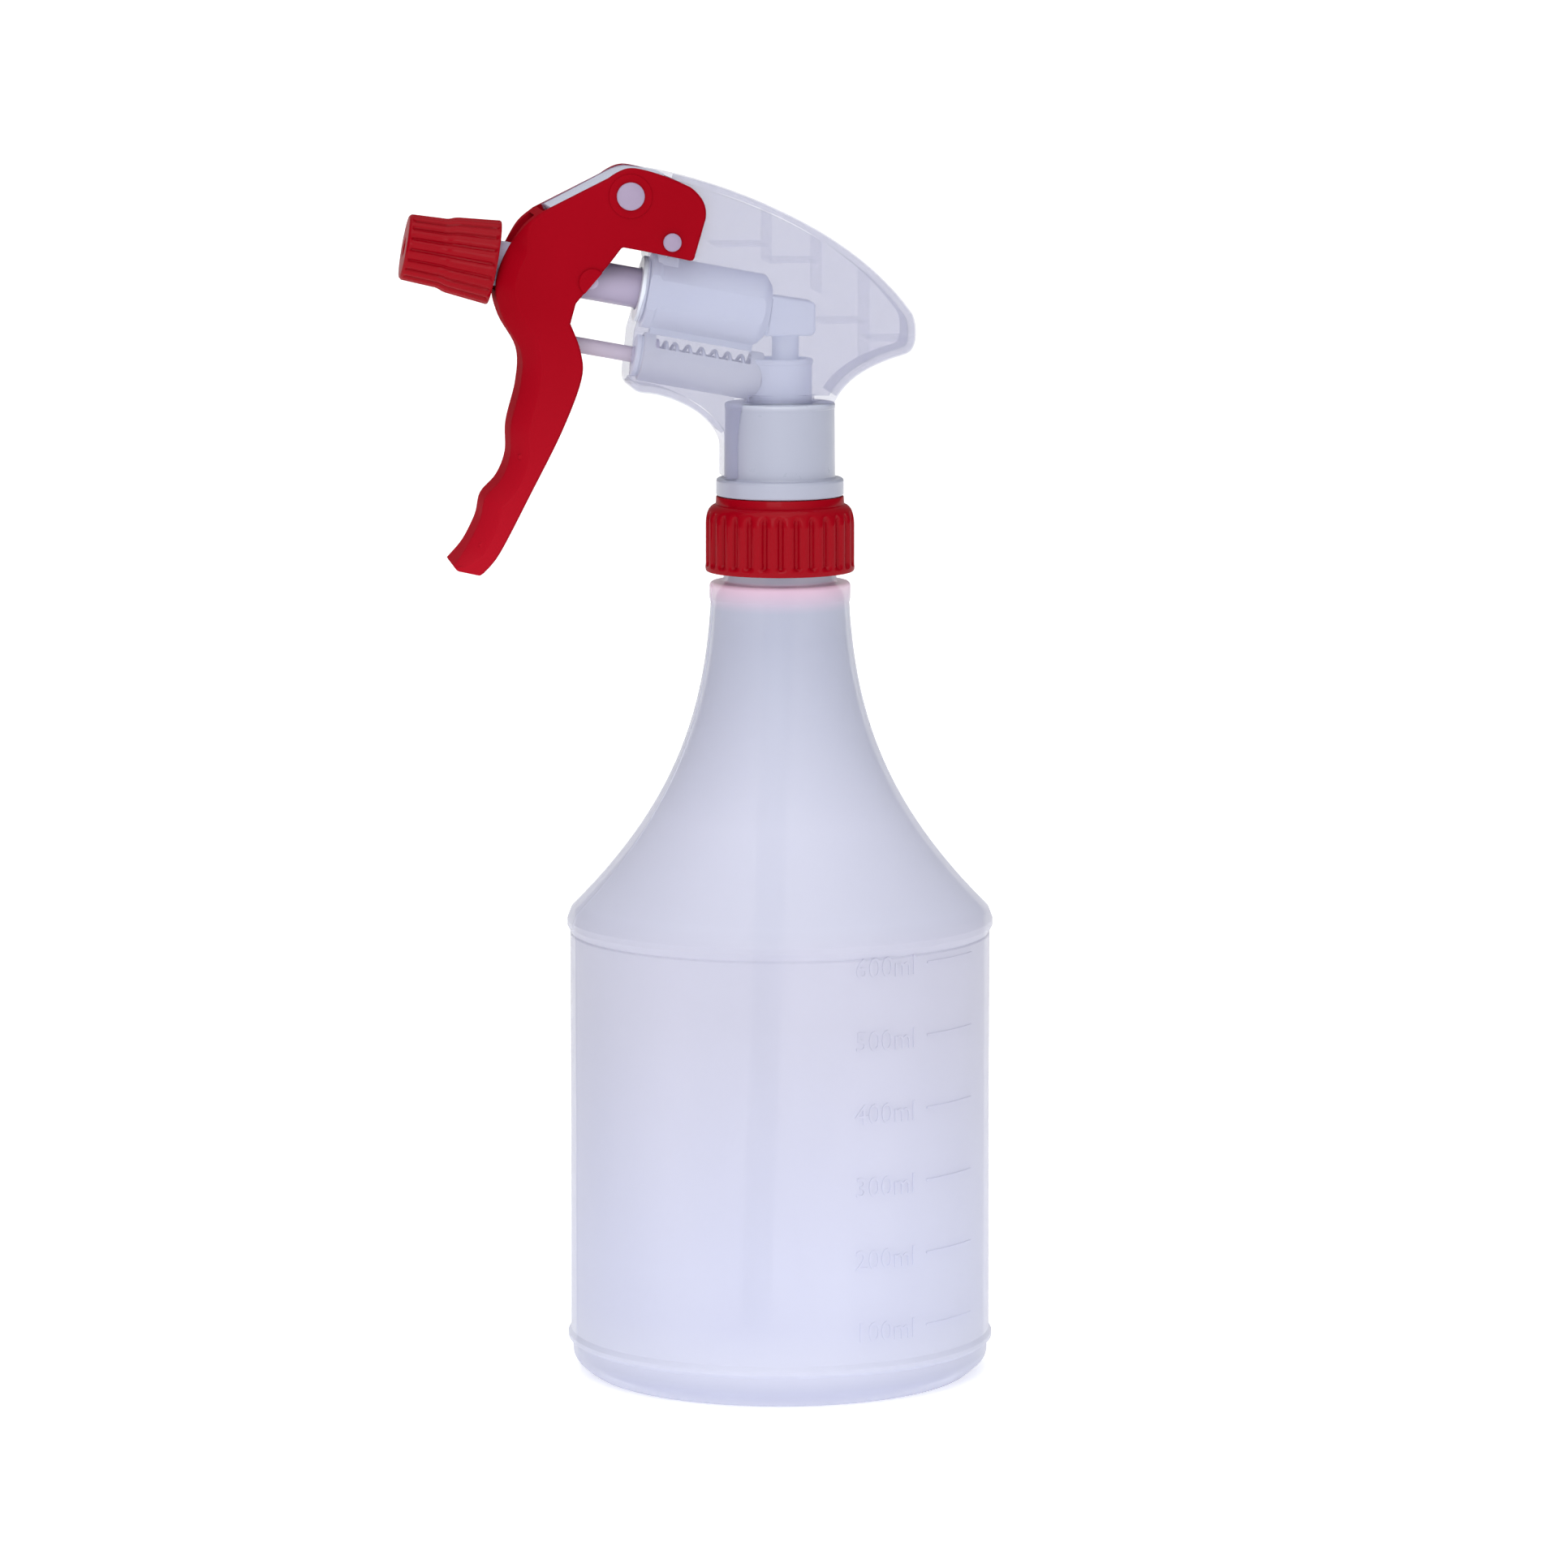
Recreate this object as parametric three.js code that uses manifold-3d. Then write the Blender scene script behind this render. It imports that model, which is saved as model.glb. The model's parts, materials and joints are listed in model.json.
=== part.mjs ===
// Hand mister: a blown bottle with a screw closure and a trigger pump head.
// Millimetres, +Z up. The origin is the centre of the bottle's base, and the nozzle points towards -X.
// The piston barrel, the nozzle and the return spring lie along a line that rises towards the nozzle:
// their pieces are drawn along +X in the group "barrel", which is tilted as a whole.

import * as THREE from 'three';
import { mergeVertices } from 'three/addons/utils/BufferGeometryUtils.js';
import Module from 'manifold-3d';

const wasm = await Module();
wasm.setup();

// ---------------------------------------------------------------- driving dimensions

const GAP = 0.3; // between pieces that touch in use

// Bottle
const BODY_RADIUS = 46.7;
const BEAD_RADIUS = 47.4; // the soft ridges at the base and at the shoulder
const SHOULDER_HEIGHT = 101.5;
const COLLAR_RADIUS = 15.6; // the plain collar under the closure
const COLLAR_TOP = 177.3;
const RIM_HEIGHT = 190;
const FINISH_RADIUS = 12.5; // the wall under the thread
const MOUTH_RADIUS = 10.9;
const BOTTLE_WALL = 1.2;
const THREAD_PITCH = 4.2;

// Closure nut and the pump's neck
const NUT_RADIUS = 16.5;
const NUT_BOTTOM = 179.6;
const NUT_TOP = 195.6;
const NUT_RIBS = 28;
const FLANGE_RADIUS = 14.1;
const FLANGE_BOTTOM = 196.4;
const FLANGE_TOP = 200.3;
const SOCKET_RADIUS = 12.1;
const SOCKET_TOP = 217;
const RISER_COLLAR_RADIUS = 7.1;
const RISER_COLLAR_TOP = 226.7;
const NECK_TUBE_RADIUS = 8.6;
const NECK_TUBE_BOTTOM = 184;

// Trigger pivot and the tilted line of the barrel
const PIVOT = new THREE.Vector2(-34.1, 263.1);
const BARREL_TILT = THREE.MathUtils.degToRad(10.5);
const BARREL_BELOW_PIVOT = 19.9;
const STOP = new THREE.Vector2(-25, 253); // the trigger's stop pin

// Pieces along the barrel: X positions, counted from the point that faces the pivot
const CYLINDER_FRONT = 8.1;
const CYLINDER_BACK = 35.6;
const CYLINDER_RADIUS = 8.3;
const CYLINDER_BORE = 6.5;
const PISTON_RADIUS = 4.4;
const STEM_RADIUS = 5; // the thicker stem that carries the nozzle
const LUG_X = -4.9;
const WINDOW_TOP = 12; // the top of the trigger's window, which sinks towards the stem as it is squeezed
const NOZZLE_BACK = -25.8;
const NOZZLE_LENGTH = 20;
const NOZZLE_FRONT = NOZZLE_BACK - NOZZLE_LENGTH;
const NOZZLE_BACK_RADIUS = 9.3;
const NOZZLE_FRONT_RADIUS = 7.3;
const NOZZLE_FRONT_WALL = 2.9;
const NOZZLE_FLUTES = 18;

// Return spring, in its own chamber under the cylinder
const SPRING_DROP = 14.55; // from the barrel's axis to the spring's
const CHAMBER_FRONT = 9.5;
const CHAMBER_BACK = 36.5;
const CHAMBER_RADIUS = 5.4;
const CHAMBER_BORE = 4.7;
const PLUNGER_RADIUS = 1.75;

// Widths across Y, as half widths
const CHEEK_OUTER = 11;
const CHEEK_INNER = 9.4;
const SHROUD_OUTER = 9;
const SHROUD_INNER = 7.8;
const SHROUD_WALL = 1.6;

const ROUND = 20; // sides of an ordinary turned piece
const BOTTLE_ROUND = 32;

// ---------------------------------------------------------------- solids

// A manifold solid from a closed three.js geometry, turned inside out if its faces point in.
function solid(geometry) {
  geometry.deleteAttribute('normal');
  geometry.deleteAttribute('uv');
  const merged = mergeVertices(geometry);
  const place = merged.attributes.position;
  const triangles = [];
  const corner = [new THREE.Vector3(), new THREE.Vector3(), new THREE.Vector3()];
  let volume = 0;
  for (let i = 0; i < merged.index.count; i += 3) {
    const ids = [0, 1, 2].map((k) => merged.index.getX(i + k));
    if (new Set(ids).size < 3) continue;
    corner.forEach((point, k) => point.fromBufferAttribute(place, ids[k]));
    volume += corner[0].dot(corner[1].cross(corner[2]));
    triangles.push(ids);
  }
  if (volume < 0) triangles.forEach((ids) => ids.reverse());
  return new wasm.Manifold(new wasm.Mesh({
    numProp: 3,
    vertProperties: new Float32Array(place.array),
    triVerts: new Uint32Array(triangles.flat()),
  }));
}

const join = (...geometries) => geometries.map(asSolid).reduce((whole, piece) => whole.add(piece));
const cut = (body, ...tools) => tools.map(asSolid).reduce((rest, tool) => rest.subtract(tool), asSolid(body));
const asSolid = (shape) => (shape.isBufferGeometry ? solid(shape) : shape);

// The three.js geometry of a manifold solid.
function toGeometry(manifold) {
  const mesh = manifold.getMesh();
  const geometry = new THREE.BufferGeometry();
  geometry.setAttribute('position', new THREE.BufferAttribute(mesh.vertProperties, mesh.numProp));
  geometry.setIndex(new THREE.BufferAttribute(mesh.triVerts, 1));
  geometry.computeVertexNormals();
  return geometry;
}

// A piece turned about Z, from a profile of [radius, height] pairs that starts and ends on the axis
// or closes on itself.
function turned(profile, sides = ROUND) {
  const points = profile.map(([radius, height]) => new THREE.Vector2(radius, height));
  return new THREE.LatheGeometry(points, sides).rotateX(Math.PI / 2);
}

const rod = (radius, from, to, sides) => turned([[0, from], [radius, from], [radius, to], [0, to]], sides);

const ring = (inner, outer, from, to, sides) => turned(
  [[inner, from], [outer, from], [outer, to], [inner, to], [inner, from]],
  sides,
);

// Lays a piece that was made along Z along +X instead.
const alongX = (geometry) => geometry.rotateY(Math.PI / 2);

// Lays a piece that was made along Z along +Y instead, at a place in the XZ plane.
const acrossY = (geometry, x, z) => geometry.rotateX(-Math.PI / 2).translate(x, 0, z);

// An outline in the XZ plane given thickness across Y.
function plate(shape, fromY, toY) {
  const settings = { depth: toY - fromY, bevelEnabled: false, curveSegments: 6 };
  return new THREE.ExtrudeGeometry(shape, settings).rotateX(Math.PI / 2).translate(0, toY, 0);
}

function box(x0, x1, halfWidth, z0, z1) {
  const geometry = new THREE.BoxGeometry(x1 - x0, 2 * halfWidth, z1 - z0);
  return geometry.translate((x0 + x1) / 2, 0, (z0 + z1) / 2);
}

// A line of points moved sideways by a distance, to the right of its direction of travel.
function offset(points, distance) {
  return points.map((point, i) => {
    const before = points[Math.max(i - 1, 0)];
    const after = points[Math.min(i + 1, points.length - 1)];
    const arriving = point.clone().sub(before).normalize();
    const leaving = after.clone().sub(point).normalize();
    const travel = arriving.clone().add(leaving).normalize();
    const turn = Math.max(travel.dot(i === 0 ? leaving : arriving), 0.3);
    return new THREE.Vector2(travel.y, -travel.x).multiplyScalar(distance / turn).add(point);
  });
}

// A round wire wound along Z.
class Helix extends THREE.Curve {
  constructor(radius, pitch, turns, start) {
    super();
    Object.assign(this, { radius, pitch, turns, start });
  }

  getPoint(t, target = new THREE.Vector3()) {
    const angle = 2 * Math.PI * this.turns * t;
    const height = this.start + this.pitch * this.turns * t;
    return target.set(this.radius * Math.cos(angle), this.radius * Math.sin(angle), height);
  }
}

function coil(path, wireRadius, stepsPerTurn) {
  const section = new THREE.Shape().absarc(0, 0, wireRadius, 0, 2 * Math.PI);
  return new THREE.ExtrudeGeometry(section, {
    steps: Math.round(path.turns * stepsPerTurn),
    extrudePath: path,
    curveSegments: 3,
  });
}

// ---------------------------------------------------------------- the model

const plastic = (color, roughness, opacity = 1) => new THREE.MeshStandardMaterial({
  color, roughness, metalness: 0, flatShading: true, transparent: opacity < 1, opacity,
});
const RED = plastic(0xa80a14, 0.38);
const FROSTED = plastic(0xd8dcea, 0.5, 0.6);
const MILKY = plastic(0xc9cee2, 0.42, 0.75);
const LILAC = plastic(0xd0c6de, 0.4);
const RUBBER = plastic(0x2b2b2e, 0.8);
const STEEL = new THREE.MeshStandardMaterial({ color: 0xbfc2c6, roughness: 0.25, metalness: 1 });

const mister = new THREE.Group();
const barrel = new THREE.Group();
barrel.rotation.y = BARREL_TILT;
barrel.position.set(
  PIVOT.x - BARREL_BELOW_PIVOT * Math.sin(BARREL_TILT),
  0,
  PIVOT.y - BARREL_BELOW_PIVOT * Math.cos(BARREL_TILT),
);
barrel.updateMatrix();
mister.add(barrel);

// Puts a geometry that is drawn in the barrel's group into the mister's own frame.
const inBarrel = (geometry) => geometry.applyMatrix4(barrel.matrix);

// Lays a piece made along Z across Y, at a place in the barrel's own frame.
const alongBarrelY = (geometry, x, z) => inBarrel(acrossY(geometry, x, z));

function addPiece(name, shape, material, group = mister) {
  const geometry = toGeometry(asSolid(shape));
  const mesh = new THREE.Mesh(geometry, material);
  mesh.name = name;
  group.add(mesh);
}

// ---------------------------------------------------------------- bottle and closure

// The bottle's shoulder, from the bead down in one sweep to the collar.
const shoulder = new THREE.CubicBezierCurve(
  new THREE.Vector2(BODY_RADIUS - 0.3, SHOULDER_HEIGHT + 2.9),
  new THREE.Vector2(24, 127),
  new THREE.Vector2(16.8, 147),
  new THREE.Vector2(COLLAR_RADIUS - 0.05, COLLAR_TOP - 3.3),
);

function bottle() {
  const pairs = (points) => points.map((point) => [point.x, point.y]);
  const slope = shoulder.getPoints(7);
  const outside = [
    [0, 0],
    [42.4, 0],
    [45.6, 1.6],
    [BODY_RADIUS, 5],
    [BEAD_RADIUS, 8.6],
    [BODY_RADIUS, 11],
    [BODY_RADIUS, SHOULDER_HEIGHT - 2.4],
    [BEAD_RADIUS, SHOULDER_HEIGHT],
    ...pairs(slope),
    [COLLAR_RADIUS, COLLAR_TOP - 0.8],
    [COLLAR_RADIUS - 0.8, COLLAR_TOP],
    [FINISH_RADIUS, COLLAR_TOP],
    [FINISH_RADIUS, RIM_HEIGHT],
  ];
  const inside = [
    [MOUTH_RADIUS, RIM_HEIGHT],
    [MOUTH_RADIUS, COLLAR_TOP + 1.3],
    ...pairs(offset(slope, -BOTTLE_WALL)).reverse(),
    [BODY_RADIUS - BOTTLE_WALL, SHOULDER_HEIGHT - 2],
    [BODY_RADIUS - BOTTLE_WALL, 5.6],
    [42.4, BOTTLE_WALL],
    [0, BOTTLE_WALL],
  ];
  const threadStart = COLLAR_TOP + 3.4;
  const thread = coil(new Helix(FINISH_RADIUS + 0.1, THREAD_PITCH, 1.6, threadStart), 0.85, 16);
  return join(turned([...outside, ...inside], BOTTLE_ROUND), thread);
}

function closureNut() {
  const outline = new THREE.Shape();
  const step = (2 * Math.PI) / NUT_RIBS;
  const ribDepth = 0.55;
  for (let rib = 0; rib < NUT_RIBS; rib++) {
    [[0.08, 0], [0.42, 0], [0.58, ribDepth], [0.92, ribDepth]].forEach(([part, depth], i) => {
      const angle = (rib + part) * step;
      const radius = NUT_RADIUS - depth;
      const move = rib + i === 0 ? 'moveTo' : 'lineTo';
      outline[move](radius * Math.cos(angle), radius * Math.sin(angle));
    });
  }
  const ribbed = new THREE.ExtrudeGeometry(outline, { depth: NUT_TOP - NUT_BOTTOM, bevelEnabled: false });
  ribbed.translate(0, 0, NUT_BOTTOM);
  const roundedTop = turned([
    [0, NUT_BOTTOM - 1],
    [NUT_RADIUS + 1, NUT_BOTTOM - 1],
    [NUT_RADIUS + 1, NUT_TOP - 4.7],
    [NUT_RADIUS - 1.4, NUT_TOP - 1.5],
    [NUT_RADIUS - 3.4, NUT_TOP],
    [0, NUT_TOP],
  ], NUT_RIBS);
  const bottomBead = ring(FINISH_RADIUS + 1, NUT_RADIUS, NUT_BOTTOM, NUT_BOTTOM + 1, NUT_RIBS);
  const bore = turned([
    [0, NUT_BOTTOM - 1],
    [FINISH_RADIUS + 1.4, NUT_BOTTOM - 1],
    [FINISH_RADIUS + 1.4, RIM_HEIGHT + 1.2],
    [FINISH_RADIUS + 0.4, RIM_HEIGHT + 1.6],
    [FINISH_RADIUS + 0.4, NUT_TOP - 2],
    [0, NUT_TOP - 2],
  ], NUT_RIBS);
  const neckHole = rod(NECK_TUBE_RADIUS + 0.5, NUT_TOP - 3, NUT_TOP + 1, NUT_RIBS);
  const body = solid(ribbed).intersect(solid(roundedTop));
  return cut(join(body, bottomBead), bore, neckHole);
}

// The dip tube hangs from the inlet valve and leans a little towards the nozzle's side.
function dipTube() {
  const outer = 3.4;
  const inner = 2.6;
  const path = new THREE.CatmullRomCurve3([
    new THREE.Vector3(0, 0, 194),
    new THREE.Vector3(0, 0, 176),
    new THREE.Vector3(-2.6, 0, 95),
    new THREE.Vector3(-5.6, 0, 7),
  ]);
  const section = new THREE.Shape().absarc(0, 0, outer, 0, 2 * Math.PI);
  section.holes.push(new THREE.Path().absarc(0, 0, inner, 0, 2 * Math.PI, true));
  return new THREE.ExtrudeGeometry(section, { steps: 9, extrudePath: path, curveSegments: 5 });
}

addPiece('bottle', bottle(), FROSTED);
addPiece('closure_nut', closureNut(), RED);
addPiece('dip_tube', dipTube(), MILKY);
addPiece('neck_gasket', ring(9.6, 12.4, RIM_HEIGHT + GAP, RIM_HEIGHT + 1.5), RUBBER);

// ---------------------------------------------------------------- pump body

const ADAPTER_RADIUS = 6.2;
const BALL_SEAT = 200; // height of the inlet ball's seat
const RISER_X = 1.2;
const RISER_BORE = 1.6;

const PAD_BELOW_STOP = 2.75; // from the stop pin's axis down to the pad it rests above

const springLine = (geometry) => inBarrel(alongX(geometry).translate(0, 0, -SPRING_DROP));

// The pump's one-piece body: the neck with its two flanges, the socket for the inlet valve, the riser,
// the cylinder with flat sides, and the spring's chamber below it.
function pumpBody() {
  const neck = turned([
    [0, NECK_TUBE_BOTTOM],
    [NECK_TUBE_RADIUS, NECK_TUBE_BOTTOM],
    [NECK_TUBE_RADIUS, RIM_HEIGHT + 1.8],
    [12.4, RIM_HEIGHT + 1.8],
    [12.4, NUT_TOP - 2 - GAP],
    [NECK_TUBE_RADIUS, NUT_TOP - 2 - GAP],
    [NECK_TUBE_RADIUS, FLANGE_BOTTOM],
    [FLANGE_RADIUS, FLANGE_BOTTOM],
    [FLANGE_RADIUS, FLANGE_TOP],
    [SOCKET_RADIUS, FLANGE_TOP],
    [SOCKET_RADIUS, SOCKET_TOP - 0.6],
    [SOCKET_RADIUS - 0.6, SOCKET_TOP],
    [RISER_COLLAR_RADIUS, SOCKET_TOP],
    [RISER_COLLAR_RADIUS, RISER_COLLAR_TOP - 0.5],
    [RISER_COLLAR_RADIUS - 0.5, RISER_COLLAR_TOP],
    [0, RISER_COLLAR_TOP],
  ], 24);
  const riser = rod(3, RISER_COLLAR_TOP - 1, 234, 16).translate(RISER_X, 0, 0);
  const elbow = box(-4, 7.4, 4.6, 232, 240.6);
  const cylinder = inBarrel(alongX(turned([
    [0, CYLINDER_FRONT],
    [CYLINDER_RADIUS, CYLINDER_FRONT],
    [CYLINDER_RADIUS, CYLINDER_BACK - 4.5],
    [CYLINDER_RADIUS - 1.3, CYLINDER_BACK - 1.5],
    [CYLINDER_RADIUS - 3.6, CYLINDER_BACK],
    [0, CYLINDER_BACK],
  ])));
  const flats = inBarrel(box(-10, 60, SHROUD_INNER - 0.4, -20, 20));
  const chamber = springLine(rod(CHAMBER_RADIUS, CHAMBER_FRONT, CHAMBER_BACK));
  const bridge = inBarrel(box(CHAMBER_FRONT + 1, CHAMBER_BACK - 3, 1.4, -10.4, -7.4));
  const stopPad = box(STOP.x - 2.4, STOP.x + 2.2, 5, 245, STOP.y - PAD_BELOW_STOP);
  const body = join(
    neck, riser, elbow, solid(cylinder).intersect(solid(flats)), chamber, bridge, stopPad,
  );
  const padRecess = box(-26.8, -21.2, 20, 243.6, 246.6);
  const recesses = solid(padRecess).subtract(solid(box(-30, -20, 6.8, 240, 250)));
  const pistonBore = inBarrel(alongX(rod(CYLINDER_BORE, CYLINDER_FRONT - 1, CYLINDER_BACK - 2.2)));
  const springBore = springLine(rod(CHAMBER_BORE, CHAMBER_FRONT - 1, CHAMBER_BACK - 1.6));
  const adapterBore = rod(ADAPTER_RADIUS + GAP, NECK_TUBE_BOTTOM - 1, BALL_SEAT + 7);
  const ballSpace = rod(4.2, BALL_SEAT + 6, BALL_SEAT + 10, 16);
  const riserBore = rod(RISER_BORE, BALL_SEAT + 9, 237, 12).translate(RISER_X, 0, 0);
  const crossBore = inBarrel(alongX(rod(RISER_BORE, CYLINDER_BACK - 4, CYLINDER_BACK + 4.6, 12)));
  return cut(body, recesses, pistonBore, springBore, adapterBore, ballSpace, riserBore, crossBore);
}

// The valve seat at the top of the dip tube: a plug with the tube's socket below and the ball's seat above.
function inletSeat() {
  const bottom = NECK_TUBE_BOTTOM - 1.5;
  return turned([
    [3.7, bottom],
    [ADAPTER_RADIUS + 1.4, bottom],
    [ADAPTER_RADIUS + 1.4, NECK_TUBE_BOTTOM - GAP],
    [ADAPTER_RADIUS, NECK_TUBE_BOTTOM - GAP],
    [ADAPTER_RADIUS, BALL_SEAT + 6.7],
    [4.1, BALL_SEAT + 6.7],
    [4.1, BALL_SEAT + 0.8],
    [2, BALL_SEAT],
    [2, 194.3],
    [3.7, 194.3],
    [3.7, bottom],
  ]);
}

const ball = (radius) => new THREE.SphereGeometry(radius, 12, 8);

addPiece('pump_body', pumpBody(), MILKY);
addPiece('inlet_valve_seat', inletSeat(), MILKY);
addPiece('inlet_ball', ball(3).translate(0, 0, BALL_SEAT + 2.9), STEEL);

// ---------------------------------------------------------------- shroud and trigger

const GUSSET_END = -7.8; // the shroud's lower edge runs on to here beside the round socket

// The shroud's outer wall in side view: over the roof, down the tail, along the neck and up the chin.
function shroudWall() {
  const line = new THREE.Path();
  line.moveTo(-51.9, 259.8);
  line.lineTo(-38.6, 266.6);
  line.quadraticCurveTo(-35.6, 269.1, -33.5, 269.1);
  line.bezierCurveTo(-23, 268.3, 12, 260, 28.3, 236.9);
  line.quadraticCurveTo(29.1, 235.4, 29.1, 232.5);
  line.quadraticCurveTo(29.1, 228.4, 26.5, 227.8);
  line.bezierCurveTo(20, 226, 13.5, 223, 11, SOCKET_TOP + GAP);
  line.lineTo(GUSSET_END, SOCKET_TOP + GAP);
  line.lineTo(GUSSET_END, 205.4);
  line.lineTo(-12.4, 210.1);
  line.bezierCurveTo(-16, 214, -24.5, 219.6, -31.2, 219.9);
  line.quadraticCurveTo(-34.2, 220.3, -34.3, 223.4);
  return line.getPoints(6);
}

// The open front edge of the shroud, from the chin up to the underside of the nose.
const shroudMouth = [
  [-33.2, 233.4],
  [-30.6, 241.8],
  [-29.7, 248.6],
  [-30.2, 252.4],
  [-38, 255],
  [-46.8, 257],
  [-48.4, 260.4],
  [-51.4, 259],
].map(([x, z]) => new THREE.Vector2(x, z));

function shroud() {
  const wall = shroudWall();
  const outline = new THREE.Shape([...wall, ...shroudMouth]);
  const hollow = new THREE.Shape([
    new THREE.Vector2(-60, 256),
    ...offset(wall, SHROUD_WALL),
    new THREE.Vector2(-40, 223.4),
  ]);
  const stopSweep = new THREE.Shape();
  const stopArm = STOP.clone().sub(PIVOT);
  const sweepTurn = THREE.MathUtils.degToRad(22);
  const firstAngle = stopArm.angle();
  stopSweep.absarc(PIVOT.x, PIVOT.y, stopArm.length() + 2.2, firstAngle - 0.2, firstAngle + sweepTurn + 0.2);
  stopSweep.absarc(PIVOT.x, PIVOT.y, stopArm.length() - 2.2, firstAngle + sweepTurn + 0.2, firstAngle - 0.2, true);
  return cut(
    plate(outline, -SHROUD_OUTER, SHROUD_OUTER),
    plate(hollow, -SHROUD_INNER, SHROUD_INNER),
    rod(RISER_COLLAR_RADIUS + 0.4, SOCKET_TOP - 10, RISER_COLLAR_TOP + 2),
    rod(SOCKET_RADIUS + GAP, SOCKET_TOP - 20, SOCKET_TOP + GAP, 24),
    springLine(rod(CHAMBER_RADIUS + 0.35, CHAMBER_FRONT - 4, CHAMBER_BACK + 1)),
    acrossY(rod(2.7, -20, 20, 16), PIVOT.x, PIVOT.y),
    plate(stopSweep, -20, 20),
  );
}

// The trigger's front edge in side view, from the finger tip up to where the web ends.
const triggerFront = new THREE.SplineCurve([
  [-73.1, 182.6],
  [-69.9, 186.8],
  [-67.1, 192.4],
  [-65.9, 197.2],
  [-62.4, 201.2],
  [-60.4, 206.3],
  [-60.2, 213],
  [-58, 221.9],
  [-57.9, 229.2],
  [-61.8, 236.4],
  [-63.3, 243],
  [-61.8, 249.2],
  [-57.6, 256.2],
  [-53.4, 260.4],
].map(([x, z]) => new THREE.Vector2(x, z)));

// The trigger's rear edge below the barrel, from the inner corner down to the finger tip.
const triggerRear = new THREE.SplineCurve([
  [-47.3, 235.4],
  [-45.1, 229.4],
  [-44.9, 223.2],
  [-49.2, 211.9],
  [-56.3, 197.9],
  [-62.9, 185.4],
  [-66.5, 181],
].map(([x, z]) => new THREE.Vector2(x, z)));

function triggerOutline() {
  const outline = new THREE.Shape(triggerFront.getPoints(24));
  outline.lineTo(-38.9, 267.5);
  outline.quadraticCurveTo(-36.2, 269.1, -33.8, 269.2);
  outline.bezierCurveTo(-31, 269.2, -25, 267, -20.9, 265);
  outline.quadraticCurveTo(-16.8, 262, -17.6, 258);
  outline.lineTo(-20.3, 248.8);
  outline.lineTo(-30.7, 251);
  outline.lineTo(-35.9, 252);
  outline.lineTo(-38.3, 248.9);
  outline.lineTo(-46.1, 239.8);
  triggerRear.getPoints(12).forEach((point) => outline.lineTo(point.x, point.y));
  outline.quadraticCurveTo(-67.2, 180.4, -68.4, 180.8);
  outline.lineTo(-71.9, 181.5);
  return outline;
}

// The trigger is a channel: two cheeks joined along their front edge by a web. The barrel passes through
// a window in the web, and each cheek has a pocket for the lug that drives the piston.
function trigger() {
  const web = 2.2;
  const inside = new THREE.Shape([
    ...offset(triggerFront.getPoints(24), web),
    new THREE.Vector2(-54.6, 264),
    new THREE.Vector2(-30, 280),
    new THREE.Vector2(0, 280),
    new THREE.Vector2(0, 160),
    new THREE.Vector2(-63, 170),
  ]);
  const window = new THREE.Shape();
  window.moveTo(-9, WINDOW_TOP);
  window.lineTo(-32, WINDOW_TOP);
  window.lineTo(-32, -STEM_RADIUS - 0.8);
  window.lineTo(-9, -STEM_RADIUS - 0.8);
  const boss = alongBarrelY(rod(3, -CHEEK_OUTER - 0.7, CHEEK_OUTER + 0.7, 16), LUG_X, 0);
  const bossTrim = plate(triggerOutline(), -20, 20);
  const channel = cut(
    join(
      plate(triggerOutline(), -CHEEK_OUTER, CHEEK_OUTER),
      solid(boss).intersect(solid(bossTrim)),
    ),
    plate(inside, -CHEEK_INNER, CHEEK_INNER),
  );
  const pocket = inBarrel(plate(lugPocket(), -CHEEK_OUTER + 0.2, CHEEK_OUTER - 0.2));
  return cut(
    channel,
    inBarrel(plate(window, -STEM_RADIUS - 0.8, STEM_RADIUS + 0.8)),
    pocket,
    acrossY(rod(2.75, -20, 20, 16), PIVOT.x, PIVOT.y),
    acrossY(rod(1.85, -20, 20, 12), STOP.x, STOP.y),
  );
}

// The lug's pocket is a slot that points at the pivot, because the lug runs straight while the trigger turns.
function lugPocket() {
  const towardsPivot = Math.atan2(BARREL_BELOW_PIVOT, -LUG_X);
  const reach = 0.7;
  const halfWidth = 1.95;
  const shift = new THREE.Vector2(Math.cos(towardsPivot), Math.sin(towardsPivot)).multiplyScalar(reach);
  const slot = new THREE.Shape();
  slot.absarc(LUG_X + shift.x, shift.y, halfWidth, towardsPivot - Math.PI / 2, towardsPivot + Math.PI / 2);
  slot.absarc(LUG_X - shift.x, -shift.y, halfWidth, towardsPivot + Math.PI / 2, towardsPivot + 1.5 * Math.PI);
  return slot;
}

// A pin across the head: a shaft with a low domed head at each end.
function headedPin(shaftRadius, headRadius, headHeight, at) {
  const start = CHEEK_OUTER + GAP;
  const dome = start + headHeight;
  return acrossY(turned([
    [0, -dome],
    [headRadius - 0.8, -dome],
    [headRadius, -start - 0.35],
    [headRadius, -start],
    [shaftRadius, -start],
    [shaftRadius, start],
    [headRadius, start],
    [headRadius, start + 0.35],
    [headRadius - 0.8, dome],
    [0, dome],
  ], 16), at.x, at.y);
}

addPiece('shroud', shroud(), MILKY);
addPiece('trigger', trigger(), RED);
addPiece('trigger_pivot_pin', headedPin(2.4, 3.2, 1, PIVOT), LILAC);
addPiece('trigger_stop_pin', headedPin(1.5, 2.1, 0.8, STOP), LILAC);

// ---------------------------------------------------------------- piston and its seals

const PISTON_BACK = 24.5;
const SEALS = [{ name: 'piston_front_seal', x: 17.6 }, { name: 'piston_rear_seal', x: 21.6 }];
const SEAL_SEAT_RADIUS = 3.5; // the piston's grooves under its two cup seals
const SEAL_LENGTH = 2.4;
const OUTLET_SEAT = -26;
const OUTLET_BORE = 3.2;
const STEM_FRONT = -38;

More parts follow.
